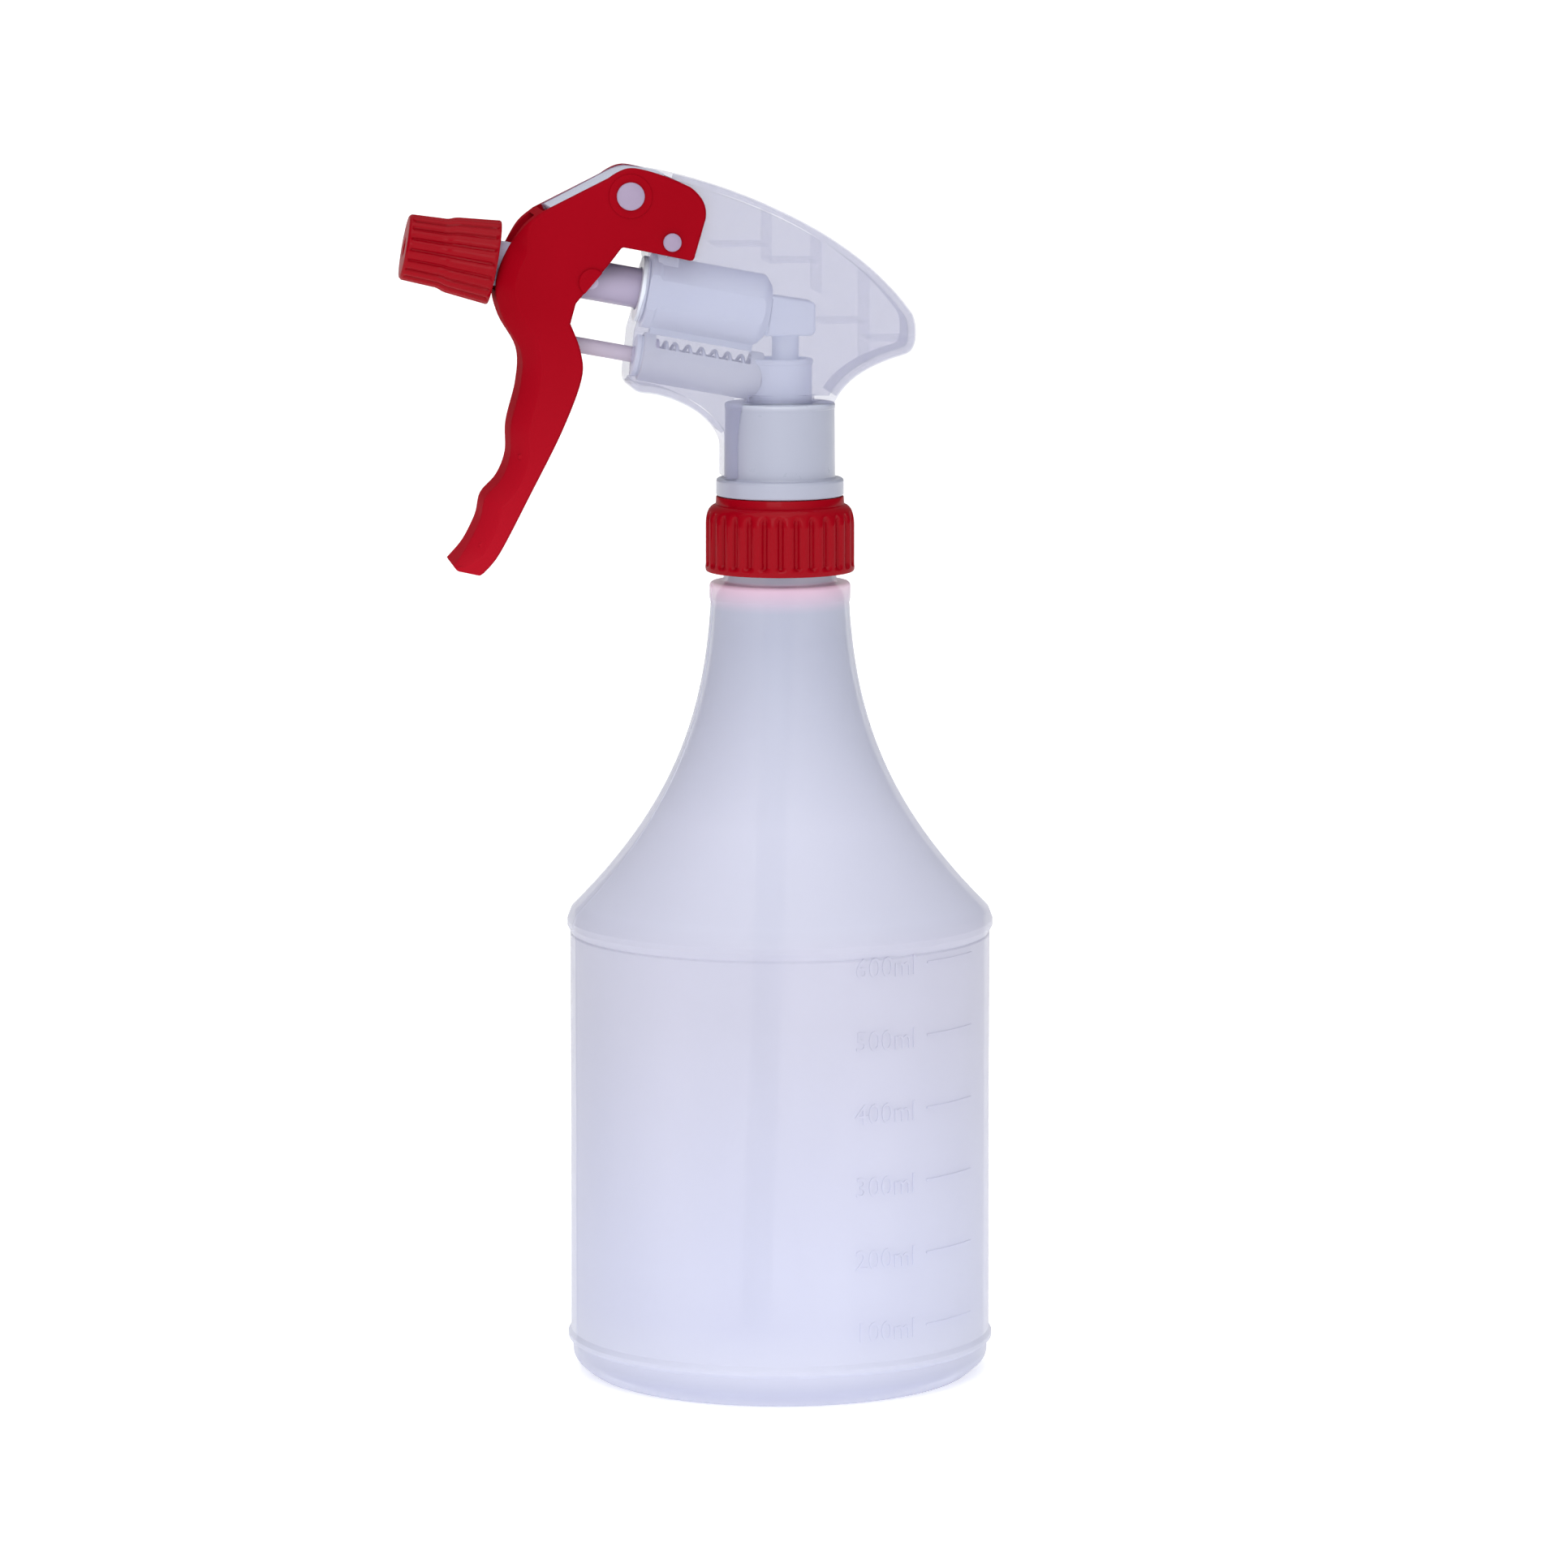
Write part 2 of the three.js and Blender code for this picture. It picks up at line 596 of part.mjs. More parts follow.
// The hollow piston rod: a stem for the nozzle in front, grooves for the seals at the back,
// and a lug on each side for the trigger.
function pistonBarrel() {
  const grooves = SEALS.flatMap(({ x }) => [
    [PISTON_RADIUS, x - GAP],
    [SEAL_SEAT_RADIUS, x - GAP],
    [SEAL_SEAT_RADIUS, x + SEAL_LENGTH + GAP],
    [PISTON_RADIUS, x + SEAL_LENGTH + GAP],
  ]);
  const tube = alongX(turned([
    [OUTLET_BORE, STEM_FRONT],
    [STEM_RADIUS - 0.4, STEM_FRONT],
    [STEM_RADIUS, STEM_FRONT + 0.4],
    [STEM_RADIUS, -22.4],
    [PISTON_RADIUS, -21.6],
    ...grooves,
    [PISTON_RADIUS, PISTON_BACK],
    [1.4, PISTON_BACK],
    [1.4, OUTLET_SEAT],
    [OUTLET_BORE, OUTLET_SEAT - 1.2],
    [OUTLET_BORE, STEM_FRONT],
  ]));
  const lugs = acrossY(rod(1.5, -CHEEK_OUTER + 0.6, CHEEK_OUTER - 0.6, 12), LUG_X, 0);
  const flow = alongX(rod(1.4, -10, 10, ROUND));
  return cut(join(tube, lugs), flow);
}

// A cup seal: a ring with a thin lip that flares against the cylinder's wall.
function cupSeal(x) {
  return alongX(turned([
    [SEAL_SEAT_RADIUS + 0.3, x],
    [5.2, x],
    [CYLINDER_BORE - 0.3, x + SEAL_LENGTH],
    [5.6, x + SEAL_LENGTH],
    [4.6, x + 1],
    [SEAL_SEAT_RADIUS + 0.3, x + 1],
    [SEAL_SEAT_RADIUS + 0.3, x],
  ]));
}

// The bush in the cylinder's mouth that guides the piston.
const guideBush = () => alongX(turned([
  [PISTON_RADIUS + 0.35, 6.4],
  [7, 6.4],
  [7.3, 6.7],
  [7.3, CYLINDER_FRONT - GAP],
  [CYLINDER_BORE - GAP, CYLINDER_FRONT - GAP],
  [CYLINDER_BORE - GAP, 12.6],
  [PISTON_RADIUS + 0.35, 12.6],
  [PISTON_RADIUS + 0.35, 6.4],
]));

addPiece('piston_barrel', pistonBarrel(), MILKY, barrel);
SEALS.forEach(({ name, x }) => addPiece(name, cupSeal(x), RUBBER, barrel));
addPiece('piston_guide_bush', guideBush(), MILKY, barrel);

// ---------------------------------------------------------------- nozzle and outlet valve

// The swirl core: a plug in the stem with two flow grooves, a head, and a slotted tip at the orifice.
function swirlCore() {
  const plug = alongX(turned([
    [0, -40.9],
    [1.5, -40.9],
    [1.5, -40.2],
    [4, -40.2],
    [4, STEM_FRONT - GAP],
    [OUTLET_BORE - GAP, STEM_FRONT - GAP],
    [OUTLET_BORE - GAP, -34.2],
    [0, -34.2],
  ], 18));
  const grooves = [-1, 1].map((side) => box(-42, -33, 0.5, 1.9, 5).translate(0, 0, side > 0 ? 0 : -6.9));
  const slot = box(-42, -40.5, 2, -0.25, 0.25);
  return cut(plug, ...grooves, slot);
}

// The cap's outer profile as [radius, x]: a narrow front half, a step at the waist and a wider back half.
function nozzleProfile(inset) {
  const waist = NOZZLE_FRONT + 0.46 * NOZZLE_LENGTH;
  return [
    [NOZZLE_FRONT_RADIUS - inset, NOZZLE_FRONT + 0.5],
    [NOZZLE_FRONT_RADIUS + 0.2 - inset, waist - 1.6],
    [NOZZLE_BACK_RADIUS - 1.2 - inset, waist + 1.6],
    [NOZZLE_BACK_RADIUS - inset, NOZZLE_BACK],
  ];
}

function nozzleCap() {
  const body = alongX(turned([
    [0, NOZZLE_FRONT],
    [NOZZLE_FRONT_RADIUS - 0.4, NOZZLE_FRONT],
    ...nozzleProfile(0),
    [0, NOZZLE_BACK],
  ], 2 * NOZZLE_FLUTES));
  const fluteDepth = 0.45;
  const fluteHalfWidth = 0.5;
  const groove = new THREE.Shape([
    new THREE.Vector2(NOZZLE_FRONT - 1, 12),
    new THREE.Vector2(NOZZLE_FRONT - 1, NOZZLE_FRONT_RADIUS - fluteDepth),
    ...nozzleProfile(fluteDepth).map(([radius, x]) => new THREE.Vector2(x, radius)),
    new THREE.Vector2(NOZZLE_BACK + 1, NOZZLE_BACK_RADIUS - fluteDepth),
    new THREE.Vector2(NOZZLE_BACK + 1, 12),
  ]);
  const flutes = Array.from({ length: NOZZLE_FLUTES }, (_, i) => (
    plate(groove, -fluteHalfWidth, fluteHalfWidth).rotateX((2 * Math.PI * i) / NOZZLE_FLUTES)
  ));
  const bore = alongX(rod(STEM_RADIUS + 0.4, NOZZLE_FRONT + NOZZLE_FRONT_WALL, NOZZLE_BACK + 1));
  const orifice = alongX(turned([
    [0, NOZZLE_FRONT - 1],
    [2.2, NOZZLE_FRONT - 1],
    [0.6, NOZZLE_FRONT + 1],
    [0.6, NOZZLE_FRONT + NOZZLE_FRONT_WALL + 1],
    [0, NOZZLE_FRONT + NOZZLE_FRONT_WALL + 1],
  ], 12));
  return cut(body, bore, orifice, ...flutes);
}

// The washer inside the cap, between the swirl core's head and the cap's front wall.
const nozzleSeal = () => alongX(ring(1.9, STEM_RADIUS + 0.1, -42.6, -41.4));

const outletSpring = () => alongX(coil(new Helix(1.9, 1.05, 3.5, -33.9), 0.25, 7));

addPiece('nozzle_cap', nozzleCap(), RED, barrel);
addPiece('nozzle_seal', nozzleSeal(), RUBBER, barrel);
addPiece('swirl_core', swirlCore(), MILKY, barrel);
addPiece('outlet_ball', ball(1.9).translate(-28.1, 0, 0), STEEL, barrel);
addPiece('outlet_spring', outletSpring(), STEEL, barrel);

// ---------------------------------------------------------------- return spring and plunger

const below = (geometry) => geometry.translate(0, 0, -SPRING_DROP);
const PLUNGER_FRONT = -14.8;
const PLUNGER_HEAD = 12.1;

const springPlunger = () => below(alongX(turned([
  [0, PLUNGER_FRONT],
  [PLUNGER_RADIUS - 0.7, PLUNGER_FRONT],
  [PLUNGER_RADIUS, PLUNGER_FRONT + 0.9],
  [PLUNGER_RADIUS, PLUNGER_HEAD],
  [CHAMBER_BORE - 0.35, PLUNGER_HEAD],
  [CHAMBER_BORE - 0.35, PLUNGER_HEAD + 1],
  [0, PLUNGER_HEAD + 1],
], 16)));

const plungerBush = () => below(alongX(turned([
  [PLUNGER_RADIUS + 0.35, 8],
  [4.6, 8],
  [4.6, CHAMBER_FRONT - GAP],
  [CHAMBER_BORE - GAP, CHAMBER_FRONT - GAP],
  [CHAMBER_BORE - GAP, 11.6],
  [PLUNGER_RADIUS + 0.35, 11.6],
  [PLUNGER_RADIUS + 0.35, 8],
], 18)));

const returnSpring = () => below(alongX(coil(new Helix(3.9, 2.93, 6.9, 14), 0.4, 9)));

addPiece('spring_plunger', springPlunger(), LILAC, barrel);
addPiece('plunger_bush', plungerBush(), MILKY, barrel);
addPiece('return_spring', returnSpring(), STEEL, barrel);

export default mister;
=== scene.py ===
"""Hand mister: the looks of its bottle, closure and trigger pump head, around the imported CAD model.

Lengths are millimetres until make() turns them into metres. +Z is up and the nozzle points towards -X.
Pieces along the piston's tilted line are drawn about +X or +Z at the origin and placed by BARREL.
"""

import json
import math

import bpy
from mathutils import Matrix, Vector


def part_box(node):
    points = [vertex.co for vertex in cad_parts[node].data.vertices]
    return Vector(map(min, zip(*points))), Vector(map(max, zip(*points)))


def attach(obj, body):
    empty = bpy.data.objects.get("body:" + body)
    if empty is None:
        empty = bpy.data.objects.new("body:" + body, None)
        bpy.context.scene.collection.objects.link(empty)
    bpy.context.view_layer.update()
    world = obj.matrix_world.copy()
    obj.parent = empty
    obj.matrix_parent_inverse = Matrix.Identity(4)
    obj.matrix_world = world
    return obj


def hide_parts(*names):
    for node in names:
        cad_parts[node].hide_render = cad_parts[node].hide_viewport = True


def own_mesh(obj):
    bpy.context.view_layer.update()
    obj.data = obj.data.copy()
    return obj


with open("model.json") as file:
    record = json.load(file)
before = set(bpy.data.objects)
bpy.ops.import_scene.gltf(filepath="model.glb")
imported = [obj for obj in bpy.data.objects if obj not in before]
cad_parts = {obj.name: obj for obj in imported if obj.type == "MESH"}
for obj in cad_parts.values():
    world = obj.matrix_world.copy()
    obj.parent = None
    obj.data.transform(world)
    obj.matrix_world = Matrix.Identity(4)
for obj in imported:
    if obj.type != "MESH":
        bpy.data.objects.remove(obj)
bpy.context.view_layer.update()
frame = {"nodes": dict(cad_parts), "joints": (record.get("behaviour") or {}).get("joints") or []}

# ---------------- sizes, from the frame

MM = 0.001
SHARP_EDGE = math.radians(32)
JOINTS = {joint["name"]: joint for joint in frame["joints"]}


def reach(node):
    """The lowest and highest corner of a CAD node, in millimetres."""
    low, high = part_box(node)
    return low / MM, high / MM


PIVOT = Vector(JOINTS["trigger_squeeze"]["pos_m"]) / MM
REARWARD = Vector(JOINTS["piston_slide"]["axis"])
TILT = math.asin(-REARWARD.z)
BARREL_DROP = 19.9
BARREL = (
    Matrix.Translation(PIVOT)
    @ Matrix.Rotation(TILT, 4, "Y")
    @ Matrix.Translation((0, 0, -BARREL_DROP))
)
ALONG_X = Matrix.Rotation(math.pi / 2, 4, "Y")  # lays what is turned about Z along +X
ALONG_Y = Matrix.Rotation(-math.pi / 2, 4, "X")
ALONG_BARREL = BARREL @ ALONG_X

BODY_RADIUS = 46.7
BEAD_RADIUS = reach("bottle")[1].x
SHOULDER_Z = 101.5
COLLAR_RADIUS = 15.6
COLLAR_TOP = 177.3
RIM_HEIGHT = reach("bottle")[1].z
FINISH_RADIUS = 12.5
MOUTH_RADIUS = 10.9
BOTTLE_WALL = 1.2
THREAD_PITCH = 4.2

NUT_RADIUS = reach("closure_nut")[1].x
NUT_BOTTOM = reach("closure_nut")[0].z
NUT_TOP = reach("closure_nut")[1].z
NUT_RIBS = 28

FLANGE_RADIUS = 14.1
FLANGE_BOTTOM = 196.4
FLANGE_TOP = 200.3
SOCKET_RADIUS = 12.1
SOCKET_TOP = 217.0
RISER_RADIUS = 7.1
RISER_TOP = 226.7
ADAPTER_RADIUS = 8.6
ADAPTER_BOTTOM = 184.0
BALL_SEAT = 200.0
RISER_BORE = 1.6

CYLINDER_FRONT = 8.1
CYLINDER_BACK = 35.6
CYLINDER_RADIUS = 8.3
CYLINDER_BORE = 6.5
PISTON_RADIUS = 4.4
PISTON_BACK = 24.5
STEM_RADIUS = 5.0
STEM_FRONT = -38.0
LUG_X = -4.9
WINDOW_TOP = 12.0

NOZZLE_BACK = -25.8
NOZZLE_LENGTH = 20.0
NOZZLE_FRONT = NOZZLE_BACK - NOZZLE_LENGTH
NOZZLE_WIDE = 9.3
NOZZLE_NARROW = 7.3
NOZZLE_WALL = 2.9
NOZZLE_FLUTES = 18

SPRING_DROP = 14.55
SPRING_BACK = 34.2
SPRING = BARREL @ Matrix.Translation((0, 0, -SPRING_DROP))
ALONG_SPRING = SPRING @ ALONG_X
CHAMBER_FRONT = 9.5
CHAMBER_BACK = 36.5
CHAMBER_RADIUS = 5.4
CHAMBER_BORE = 4.7
PLUNGER_RADIUS = 1.75
PLUNGER_FRONT = -14.8
PLUNGER_HEAD = 12.1

CHEEK_OUTER = 11.0
CHEEK_INNER = 9.4
SHROUD_OUTER = 9.0
SHROUD_INNER = 7.8
SHROUD_WALL = 1.6
STOP = sum(reach("trigger_stop_pin"), Vector()) / 2

# ---------------- outlines


def rounded(corners, closed=True, steps=5):
    """Points along (x, y, radius) corners, each corner turned into an arc of its radius."""
    points = []
    for i, (x, y, radius) in enumerate(corners):
        corner = Vector((x, y))
        end_of_line = not closed and i in (0, len(corners) - 1)
        if radius == 0 or end_of_line:
            points.append(corner)
            continue
        back = (Vector(corners[i - 1][:2]) - corner).normalized()
        ahead = (Vector(corners[(i + 1) % len(corners)][:2]) - corner).normalized()
        half = back.angle(ahead) / 2
        centre = corner + (back + ahead).normalized() * radius / math.sin(half)
        start = corner + back * radius / math.tan(half) - centre
        end = corner + ahead * radius / math.tan(half) - centre
        turn = math.atan2(start.x * end.y - start.y * end.x, start.dot(end))
        points += [centre + Matrix.Rotation(turn * k / steps, 2) @ start for k in range(steps + 1)]
    return points


def bezier(a, b, c, d, steps=12):
    """Points along a cubic Bezier curve, after its first one."""
    a, b, c, d = (Vector(point) for point in (a, b, c, d))
    shares = [k / steps for k in range(1, steps + 1)]
    return [
        a * (1 - t) ** 3 + b * 3 * t * (1 - t) ** 2 + c * 3 * t * t * (1 - t) + d * t**3
        for t in shares
    ]


def spline(points, steps=6):
    """A smooth line through the points."""
    points = [Vector(point) for point in points]
    line = [points[0]]
    for i in range(len(points) - 1):
        before = points[max(i - 1, 0)]
        after = points[min(i + 2, len(points) - 1)]
        here, there = points[i], points[i + 1]
        line += bezier(here, here + (there - before) / 6, there - (after - here) / 6, there, steps)
    return line


def on_circle(centre, radius, angle):
    return centre + Vector((math.cos(angle), math.sin(angle))) * radius


def area_of(outline):
    """Twice the signed area: positive where the outline runs anticlockwise."""
    return sum(a.x * b.y - a.y * b.x for a, b in zip(outline, outline[1:] + outline[:1]))


def offset(line, distance, closed=False):
    """The line moved to the right of its direction of travel by a distance, or by one for each point."""
    distances = distance if isinstance(distance, list) else [distance] * len(line)
    last = len(line) - 1
    moved = []
    for i, point in enumerate(line):
        before = line[i - 1] if closed or i > 0 else None
        after = line[(i + 1) % len(line)] if closed or i < last else None
        arriving = (point - before).normalized() if before else (after - point).normalized()
        leaving = (after - point).normalized() if after else arriving
        travel = (arriving + leaving).normalized()
        stretch = 1 / max(travel.dot(arriving), 0.4)
        moved.append(point + Vector((travel.y, -travel.x)) * distances[i] * stretch)
    return moved


# ---------------- meshes


def shifted(x, y, z):
    return Matrix.Translation((x, y, z))


def across(point):
    """Lays what is turned about Z across the head, through a point of its middle plane."""
    return shifted(point.x, 0, point.z) @ ALONG_Y


def added(name, data):
    """A new object in the scene, for a mesh, a light or other data."""
    thing = bpy.data.objects.new(name, data)
    bpy.context.scene.collection.objects.link(thing)
    return thing


def make(name, points, faces, place=Matrix()):
    """A mesh object from points in millimetres."""
    mesh = bpy.data.meshes.new(name)
    mesh.from_pydata([(place @ Vector(point)) * MM for point in points], [], faces)
    mesh.validate()
    return added(name, mesh)


def turned(name, profile, place=Matrix(), sides=96, swell=None):
    """A piece turned about Z from (radius, height) pairs, from axis to axis or all the way round.

    swell(radius, height, angle) may give another radius there, and sides may be a list of angles.
    """
    angles = sides if isinstance(sides, list) else [2 * math.pi * k / sides for k in range(sides)]
    count = len(angles)
    points, rings, faces = [], [], []
    for radius, height in profile:
        start = len(points)
        if radius <= 1e-6:
            points.append((0, 0, height))
            rings.append([start] * count)
            continue
        for angle in angles:
            r = swell(radius, height, angle) if swell else radius
            points.append((r * math.cos(angle), r * math.sin(angle), height))
        rings.append(list(range(start, start + count)))
    on_axis = profile[0][0] <= 1e-6 and profile[-1][0] <= 1e-6
    pairs = list(zip(rings, rings[1:])) + ([] if on_axis else [(rings[-1], rings[0])])
    for low, high in pairs:
        for k in range(count):
            corners = [low[k], low[(k + 1) % count], high[(k + 1) % count], high[k]]
            faces.append(list(dict.fromkeys(corners)))
    return outward(make(name, points, faces, place))


def lathe(name, corners, place=Matrix(), steps=5, **options):
    """A piece turned from (radius, height, rounding) corners."""
    profile = rounded(corners, closed=corners[0][0] > 0, steps=steps)
    return turned(name, profile, place, **options)


def outward(piece):
    """Turns a closed mesh's faces out."""
    mesh = piece.data
    volume = sum(
        mesh.vertices[a].co.dot(mesh.vertices[b].co.cross(mesh.vertices[c].co))
        for face in mesh.polygons
        for a, b, c in fan(face.vertices)
    )
    if volume < 0:
        mesh.flip_normals()
    return piece


def fan(corners):
    """The triangles of a face, all from its first corner."""
    return [(corners[0], corners[k], corners[k + 1]) for k in range(1, len(corners) - 1)]


def skin(rows, count):
    """Faces that join rows of points, each a closed loop of count points, and close both ends."""
    faces = []
    for row in range(rows - 1):
        for k in range(count):
            a, b = row * count + k, row * count + (k + 1) % count
            faces.append([a, b, b + count, a + count])
    faces.append(list(range(count))[::-1])
    faces.append(list(range((rows - 1) * count, rows * count)))
    return faces


def slab(name, outline, half_width, edge=0.4, place=Matrix(), steps=5, chamfer=1.0):
    """An XZ outline given thickness across Y, its edges rounded by one radius or one for each point.

    chamfer is 1 for a quarter circle and 2 for a straight chamfer.
    """
    if area_of(outline) < 0:
        outline = outline[::-1]
        edge = edge[::-1] if isinstance(edge, list) else edge
    radii = edge if isinstance(edge, list) else [edge] * len(outline)
    points = []
    for side in (-1, 1):
        turns = [math.pi / 2 * k / steps for k in range(steps + 1)]
        for turn in turns if side > 0 else turns[::-1]:
            inset = [-radius * (1 - math.cos(turn) ** chamfer) for radius in radii]
            loop = offset(outline, inset, closed=True)
            for point, radius in zip(loop, radii):
                y = half_width - radius * (1 - math.sin(turn) ** chamfer)
                points.append((point.x, side * y, point.y))
    return outward(make(name, points, skin(2 * steps + 2, len(outline)), place))


def block(name, x0, x1, half_width, z0, z1, edge=0.4, place=Matrix()):
    """A box across Y with rounded edges and corners."""
    corner = max(edge, 0.05)
    outline = rounded([(x0, z0, corner), (x1, z0, corner), (x1, z1, corner), (x0, z1, corner)])
    return slab(name, outline, half_width, corner, place)


def rod(name, radius, start, end, place=Matrix(), sides=64, edge=0.0):
    """A round bar along Z."""
    corners = [(0, start, 0), (radius, start, edge), (radius, end, edge), (0, end, 0)]
    return lathe(name, corners, place, sides=sides)


def sweep(name, path, radius, place=Matrix(), sides=12):
    """A round wire along a path, with flat ends."""
    path = [Vector(point) for point in path]
    tangents = [
        (path[min(i + 1, len(path) - 1)] - path[max(i - 1, 0)]).normalized()
        for i in range(len(path))
    ]
    beside = tangents[0].orthogonal().normalized()
    points = []
    for point, tangent in zip(path, tangents):
        beside = (beside - tangent * beside.dot(tangent)).normalized()
        upward = tangent.cross(beside)
        for k in range(sides):
            angle = 2 * math.pi * k / sides
            points.append(point + (beside * math.cos(angle) + upward * math.sin(angle)) * radius)
    return outward(make(name, points, skin(len(path), sides), place))


def wound(radius, start, end, turns, closed_turns=0.0, steps=28):
    """The centre line of a wire wound along Z, with closed turns lying together at both ends."""
    total = turns + 2 * closed_turns
    share = 0.3  # a closed turn's rise, as a share of an open one's
    lift = (end - start) / (turns + 2 * closed_turns * share)
    path = []
    for k in range(round(total * steps) + 1):
        turn = k / steps
        first = min(turn, closed_turns)
        last = max(turn - closed_turns - turns, 0)
        height = start + lift * (share * (first + last) + turn - first - last)
        angle = 2 * math.pi * turn
        path.append((radius * math.cos(angle), radius * math.sin(angle), height))
    return path


def settle(piece):
    """Applies the piece's modifiers."""
    graph = bpy.context.evaluated_depsgraph_get()
    piece.data = bpy.data.meshes.new_from_object(piece.evaluated_get(graph))
    piece.modifiers.clear()
    return piece


def boolean(piece, operation, tools):
    for tool in tools:
        modifier = piece.modifiers.new("boolean", "BOOLEAN")
        modifier.operation = operation
        modifier.solver = "MANIFOLD"
        modifier.object = tool
        settle(piece)
        bpy.data.objects.remove(tool)
    return piece


def carve(piece, *tools):
    return boolean(piece, "DIFFERENCE", tools)


def fuse(piece, *parts):
    return boolean(piece, "UNION", parts)


def clip(piece, *shapes):
    return boolean(piece, "INTERSECT", shapes)


def plain_name(thing):
    """Its name, without the number that tells it from the CAD's own."""
    return thing.name.split(".")[0]


def finish(piece, body, material, slot=None):
    """Smooth shading, material and body for a piece, which stands for the CAD node of its name; slot is not
    used.
    """
    for face in piece.data.polygons:
        face.use_smooth = True
    piece.data.set_sharp_from_angle(angle=SHARP_EDGE)
    weighted = piece.modifiers.new("weighted_normal", "WEIGHTED_NORMAL")
    weighted.keep_sharp = True
    weighted.weight = 80
    settle(piece)
    piece.data.materials.clear()
    piece.data.materials.append(material)
    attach(piece, body)
    if plain_name(piece) in frame["nodes"]:
        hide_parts(plain_name(piece))
    return piece


# ---------------- materials


class Nodes:
    """Short calls for building the node tree of a material or of the world."""

    def __init__(self, owner, shader="Principled BSDF", place="Object"):
        owner.use_nodes = True
        self.tree = owner.node_tree
        self.shader = self.tree.nodes[shader]
        self.place = self.tree.nodes.new("ShaderNodeTexCoord").outputs[place]

    def add(self, kind, **inputs):
        node = self.tree.nodes.new(kind)
        for name, value in inputs.items():
            self.feed(node, name.replace("_", " "), value)
        return node

    def feed(self, node, name, value):
        if isinstance(value, bpy.types.NodeSocket):
            self.tree.links.new(value, node.inputs[name])
        else:
            node.inputs[name].default_value = value

    def noise(self, scale, detail=2.0, stretch=(1, 1, 1)):
        """Noise in the piece's own coordinates. scale is in waves per metre."""
        mapping = self.add("ShaderNodeMapping", Vector=self.place, Scale=stretch)
        noise = self.add(
            "ShaderNodeTexNoise", Vector=mapping.outputs["Vector"], Scale=scale, Detail=detail
        )
        return noise.outputs["Fac"]

    def along(self, axis):
        """One part of the place, in metres for a piece."""
        return self.add("ShaderNodeSeparateXYZ", Vector=self.place).outputs[axis]

    def combine(self, operation, *values):
        node = self.add("ShaderNodeMath")
        node.operation = operation
        for i, value in enumerate(values):
            self.feed(node, i, value)
        return node.outputs[0]

    def mapped(self, value, low, high, start=0.3, end=0.7):
        """A value from start to end turned into one from low to high."""
        node = self.add("ShaderNodeMapRange", Value=value)
        ends = {"From Min": start, "From Max": end, "To Min": low, "To Max": high}
        for name, number in ends.items():
            node.inputs[name].default_value = number
        return node.outputs["Result"]

    def mix(self, share, first, second):
        node = self.add("ShaderNodeMix")
        node.data_type = "RGBA"
        self.feed(node, 0, share)
        for socket, colour in ((6, first), (7, second)):
            self.feed(node, socket, colour if isinstance(colour, bpy.types.NodeSocket) else (*colour, 1))
        return node.outputs[2]

    def bump(self, height, distance, strength=1.0, below=None):
        node = self.add("ShaderNodeBump", Height=height, Distance=distance * MM, Strength=strength)
        if below:
            self.feed(node, "Normal", below)
        return node.outputs["Normal"]

    def set(self, **values):
        for name, value in values.items():
            self.feed(self.shader, name.replace("_", " "), value)


def new_material(name):
    material = bpy.data.materials.new(name)
    return material, Nodes(material)


def moulded(
    name, light, dark, rough, grain=0.012, sink=0.05, alpha=1.0, specular=0.3, coat=(0.0, 0.03), change=None
):
    """Injection-moulded plastic: soft flow clouding, uneven gloss, fine grain and slow sink waves.

    rough is the range of its roughness, and coat is the weight and roughness of its gloss coat.
    change(nodes, cloud, colour) may give it another colour.
    """
    material, nodes = new_material(name)
    cloud = nodes.mapped(nodes.noise(45, 3, (1, 1, 0.45)), 0, 1)
    colour = nodes.mix(cloud, dark, light)
    speck = nodes.noise(2600, 2)
    waves = nodes.noise(120, 1)
    nodes.set(
        Base_Color=change(nodes, cloud, colour) if change else colour,
        Roughness=nodes.mapped(nodes.noise(260, 4), *rough),
        Normal=nodes.bump(speck, grain, below=nodes.bump(waves, sink)),
        Alpha=alpha,
        Specular_IOR_Level=specular,
        Coat_Weight=coat[0],
        Coat_Roughness=coat[1],
    )
    return material


def red_plastic():
    """The trigger's red, satin all over, with painted light making its lower end a little paler."""

    def painted_light_below(nodes, _cloud, plain):
        # painted light: the red is mixed paler towards the trigger's lower end
        painted_light_share = nodes.mapped(nodes.along("Z"), 1, 0, 0.184, 0.238)
        return nodes.mix(painted_light_share, plain, (0.41, 0.006, 0.017))

    return moulded(
        "red_plastic", (0.320, 0.0012, 0.0085), (0.295, 0.001, 0.007), (0.38, 0.5), change=painted_light_below,
        specular=0.0, coat=(0.045, 0.3),
    )


def ribbed_red():
    """The same red on the nut and the nozzle, which are glossier."""
    return moulded(
        "ribbed_red", (0.325, 0.0012, 0.0085), (0.295, 0.001, 0.007), (0.25, 0.36), grain=0.004,
        specular=0.0, coat=(0.19, 0.1),
    )


def lilac_plastic():
    return moulded("lilac_plastic", (0.37, 0.30, 0.43), (0.34, 0.27, 0.40), (0.31, 0.42))


def painted_light_lilac():
    """The pins' lilac for the plunger, painted paler to offset the shade it sits in."""
    return moulded("painted_light_lilac", (0.56, 0.50, 0.62), (0.52, 0.46, 0.58), (0.31, 0.42))


def piston_plastic():
    """The piston's plastic, tinted with a painted red reflection from the trigger around it."""
    return moulded("piston_plastic", (0.45, 0.40, 0.55), (0.42, 0.37, 0.52), (0.29, 0.40), specular=0.35)


